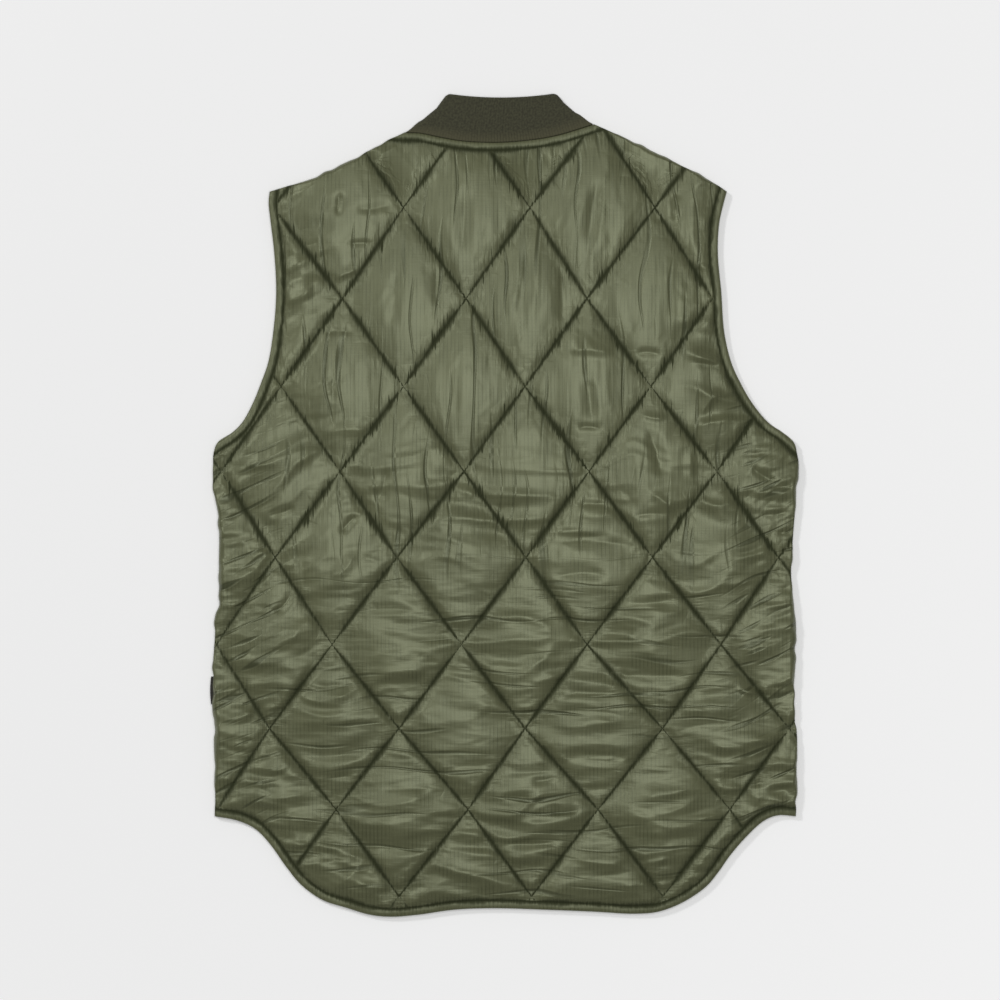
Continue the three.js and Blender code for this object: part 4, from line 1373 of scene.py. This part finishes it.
# Thin creases of the nylon: upright over the upper back, slanting beside the sides, level elsewhere
def nylon_creases(nodes, upright):
    scaled, x, y = nodes.places()
    bend = nodes.noise(scaled, THIN_CREASE_BEND_SCALE, 0.0) * THIN_CREASE_BEND
    lying = thin_creases(nodes, x, y + bend, 13.0) * (1.0 - upright)
    standing = thin_creases(nodes, y, x + bend, 17.0) * upright
    along = x + y * SIDE_THIN_CREASE_SLANT
    across = y + bend - x * SIDE_THIN_CREASE_SLANT
    slanting = thin_creases(nodes, along, across, 21.0, SIDE_THIN_CREASE_LENGTH, SIDE_THIN_CREASE_RARE)
    beside = nodes.ramp(abs(x), *SIDE_THIN_CREASE_FROM)
    return (lying + standing) * (1.0 - beside) + slanting * beside


def nylon_material():
    nodes = Nodes("quilted_nylon")
    scaled, x, y = nodes.places()
    turned = nodes.attribute("turned")[0]
    inside = nodes.ramp(turned, BAND_WIDTH - 0.6, BAND_WIDTH + 0.4)
    near, fade, apart = seam_fields(nodes, inside)
    open_share = nodes.ramp(apart, *HOLLOW_OPENS, 0.3, 1.0)
    upright = nodes.ramp(y, *PUCKER_TURN[::-1])
    kinds = (STREAKS, LEVEL_STREAKS, HAIRS, SPIKES, THREADS, PICKS, CRINKLES, PLEATS)
    streaks, level, hairs, spikes, threads, picks, crinkles, pleats = (
        nodes.pattern(x, y, *kind) for kind in kinds
    )
    puckered = (streaks * (upright * 0.75 + 0.25) + level * (0.9 - upright * 0.7)) * fade
    swell = nodes.ramp(nodes.noise(scaled, SWELL_SCALE, 2.0), 0.35, 0.65, *HOLLOW_SWELL) * open_share
    spikes = nodes.ramp(spikes, 0.52, 0.86, 0.0, SPIKE_LENGTH) * (upright * open_share)
    spikes *= nodes.ramp(turned, *(BAND_WIDTH + start for start in SPIKES_START))
    # Painted shade down the middle of each seam's groove, ragged at its edges; it also stands for the dark
    # line of the thread
    groove_shade_and_thread = nodes.ramp((near - (hairs - 0.5) * HAIR_LENGTH - spikes) / swell, 0.0, 1.5, 1.0, 0.0)
    # Painted shade beside each seam, fading out at a reach from it
    hollow_shade = nodes.fall(near, HOLLOW_SHADE_REACH) ** 2.0 * nodes.ramp(hairs, 0.36, 0.64, 0.35, 1.0) * open_share
    faint = nodes.ramp(nodes.noise(scaled, FAINT_SCALE, 2.0), 0.4, 0.62)
    level_lines = nodes.lines(y, GRID_PITCH, GRID_LEVEL_SHARE) * 0.3
    grid = nodes.math("MAXIMUM", nodes.lines(x, GRID_PITCH, GRID_UPRIGHT_SHARE), level_lines)
    grid *= faint * 0.75 + 0.25
    # Thin creases, which dent the cloth and which painted shade darkens
    crease_dent_and_shade = nylon_creases(nodes, upright) * inside
    tone = threads * 0.45 + nodes.noise(scaled, PATCH_SCALE, 2.0) * 0.4
    cloth = nodes.mix(nodes.ramp(tone, 0.3, 0.58), NYLON_DARK, NYLON)
    # Darker lines of the ripstop grid, then painted shade beside the seams, in their middles and in the
    # creases
    for shade in (grid * 0.4, hollow_shade * 0.5, groove_shade_and_thread * 0.94, crease_dent_and_shade * 0.6):
        cloth = nodes.mix(shade, cloth, PAINTED_SHADE_AND_GRID)
    crinkled = crinkles * (1.0 - upright) + pleats * (upright * 0.6)
    held = puckered * (inside * 0.8 + 0.2)
    fine = grid * 0.5 + (threads + picks)
    surface = None
    for height, depth in zip((crinkled, 1.0 - crease_dent_and_shade, held, fine), NYLON_DEPTHS):
        surface = nodes.bump(height, depth, normal=surface)
    dull = nodes.math("MAXIMUM", groove_shade_and_thread, hollow_shade * 0.6)
    return nodes.finish(
        Base_Color=cloth,
        Roughness=dull * 0.5 + NYLON_ROUGHNESS,
        Specular_IOR_Level=0.8,
        Specular_Tint=NYLON_SHINE,
        Sheen_Weight=0.04,
        Sheen_Roughness=0.4,
        Sheen_Tint=NYLON_SHINE,
        Normal=surface,
    )


def rib_material():
    nodes = Nodes("rib_knit")
    place, up, wave = nodes.attribute("rib")
    rows = nodes.math("PINGPONG", up / KNIT_ROW, 0.5)
    fuzz = nodes.pattern(place, up, *FUZZ)
    knit = nodes.ramp(rows, 0.0, 0.5) * wave
    # Painted shade between the ribs, weaker higher up the collar
    groove_shade = nodes.ramp(wave, 0.1, 0.8, 1.0, 0.0) * nodes.ramp(up, *RIB_GROOVE_SHADE_FADE, 1.0, 0.25)
    knitted = nodes.mix(nodes.ramp(fuzz, 0.32, 0.68), RIB_DARK, RIB)
    knitted = nodes.mix(nodes.ramp(up, 0.0, RIB_FOOT_HIGH, 0.6, 0.0), knitted, RIB_FOOT)
    return nodes.finish(
        Base_Color=nodes.mix(groove_shade * 0.45, knitted, RIB_GROOVE_SHADE),
        Roughness=0.95,
        Specular_IOR_Level=0.2,
        Sheen_Weight=0.08,
        Sheen_Roughness=0.6,
        Sheen_Tint=RIB_SHEEN,
        Normal=nodes.bump(knit + fuzz, KNIT_DEPTH, 0.8),
    )


# Colour made lighter or darker
def shaded(colour, share):
    return tuple(share * value for value in colour)


def thread_material():
    nodes = Nodes("thread")
    scaled, *_ = nodes.places()
    return nodes.finish(
        Base_Color=nodes.mix(nodes.noise(scaled, THREAD_SCALE), shaded(THREAD, 0.7), THREAD),
        Roughness=0.95,
        Specular_IOR_Level=0.1,
    )


def tape_material():
    nodes = Nodes("woven_tape")
    _, *places = nodes.places()
    weave = nodes.math("MAXIMUM", *(nodes.lines(place, TAPE_PITCH, 0.3) for place in places))
    return nodes.finish(
        Base_Color=nodes.mix(weave, TAB, shaded(TAB, 0.5)),
        Roughness=0.85,
        Normal=nodes.bump(weave, KNIT_DEPTH, 0.8),
    )


def metal_material():
    nodes = Nodes("enamelled_metal")
    scaled, *_ = nodes.places()
    wear = nodes.noise(scaled, WEAR_SCALE, 3.0)
    return nodes.finish(
        Base_Color=nodes.mix(nodes.ramp(wear, 0.45, 0.75), METAL, shaded(METAL, 2.2)),
        Metallic=0.8,
        Roughness=nodes.ramp(wear, 0.3, 0.7, 0.35, 0.5),
    )


# Pale paper that glows a little, so that it stays even while it still takes a soft shadow
def floor_material():
    nodes = Nodes("pale_paper")
    scaled, x, y = nodes.places()
    squares = x * x + y * y
    # The glow is painted light: it grows away from the middle and towards +x and -y, evening out the lamps'
    # falloff
    glow = squares * (FLOOR_GLOW_RISE * MM * MM) + ((x - y) * (FLOOR_GLOW_LEAN * MM) + FLOOR_GLOW)
    glow = nodes.math("MAXIMUM", nodes.math("MINIMUM", glow, FLOOR_GLOW_MOST), FLOOR_GLOW_LEAST)
    nodes.material.cycles.emission_sampling = "NONE"
    return nodes.finish(
        Base_Color=nodes.mix(nodes.noise(scaled, PAPER_SCALE), FLOOR, shaded(FLOOR, 0.99)),
        Roughness=1.0,
        Emission_Color=(1.0, 1.0, 1.0),
        Emission_Strength=glow,
    )


MATERIALS = {
    "shell": nylon_material(),
    "rib": rib_material(),
    "thread": thread_material(),
    "tab": tape_material(),
    "snap": metal_material(),
}


# Puts a finished piece in the frame: its material, body and the CAD nodes that it stands for
def place(item, look, slot, *nodes):
    item.data.materials.append(MATERIALS[look])
    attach(item, "root")
    if nodes:
        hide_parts(*nodes)
    return item


back = place(back_panel(), "shell", "shell", "back_panel")
front_left = place(front_panel(-1), "shell", "shell", "front_left")
front_right = place(front_panel(1), "shell", "shell", "front_right")
rib_collar = place(collar(), "rib", "rib", "collar")
tape_tab = place(side_tab(), "tab", "tab", "side_tab")
for index, y in enumerate(np.linspace(SNAP_HIGH, SNAP_LOW, SNAP_COUNT)):
    place(lathe(f"snap_metal_{index + 1}", SNAP_PROFILE, 0, y), "snap", "snap", f"snap_{index + 1}")

topstitching = [line_beside(edge, side * BAND_WIDTH) for edge, side in zip(TURNED_EDGES, TOPSTITCH_SIDES)]
edged = stitch_places(topstitching)
quilted = stitch_places([*FALLING, *RISING])
thread_loops = (
    stitches("back_stitches", *quilted, back_stitch_heights(quilted[0], BAND_WIDTH + 1)),
    stitches("edge_stitches", *edged, back_stitch_heights(edged[0], BAND_WIDTH - 0.25)),
    stitches("front_stitches", *quilted, front_stitch_heights(quilted[0]), -1),
)
for item in thread_loops:
    place(item, "thread", "shell")

floor_corners = ((-1, -1), (1, -1), (1, 1), (-1, 1))
floor_points = [(x * FLOOR_HALF, y * FLOOR_HALF, -FLOOR_DROP) for x, y in floor_corners]
floor = add_mesh("floor", floor_points, [(0, 1, 2, 3)], False)
floor.data.materials.append(floor_material())

world = bpy.data.worlds.new("studio")
world.use_nodes = True
world.node_tree.nodes["Background"].inputs["Color"].default_value = (1, 1, 1, 1)
world.node_tree.nodes["Background"].inputs["Strength"].default_value = WORLD_LIGHT
bpy.context.scene.world = world
bpy.context.scene.view_settings.view_transform = "Standard"

for name, location, aim, size, energy in SOFTBOXES:
    light = bpy.data.lights.new(name, "AREA")
    light.size = size
    light.energy = energy
    lamp = bpy.data.objects.new(name, light)
    lamp.location = location
    lamp.rotation_euler = (Vector(aim) - lamp.location).to_track_quat("-Z", "Y").to_euler()
    bpy.context.scene.collection.objects.link(lamp)

camera_data = bpy.data.cameras.new("camera")
camera_data.sensor_width = CAMERA_SENSOR
camera_data.lens = CAMERA_LENS
camera_data.clip_end = CAMERA_CLIP
camera = bpy.data.objects.new("camera", camera_data)
camera.location = CAMERA_PLACE
bpy.context.scene.collection.objects.link(camera)
bpy.context.scene.camera = camera

bpy.context.view_layer.update()
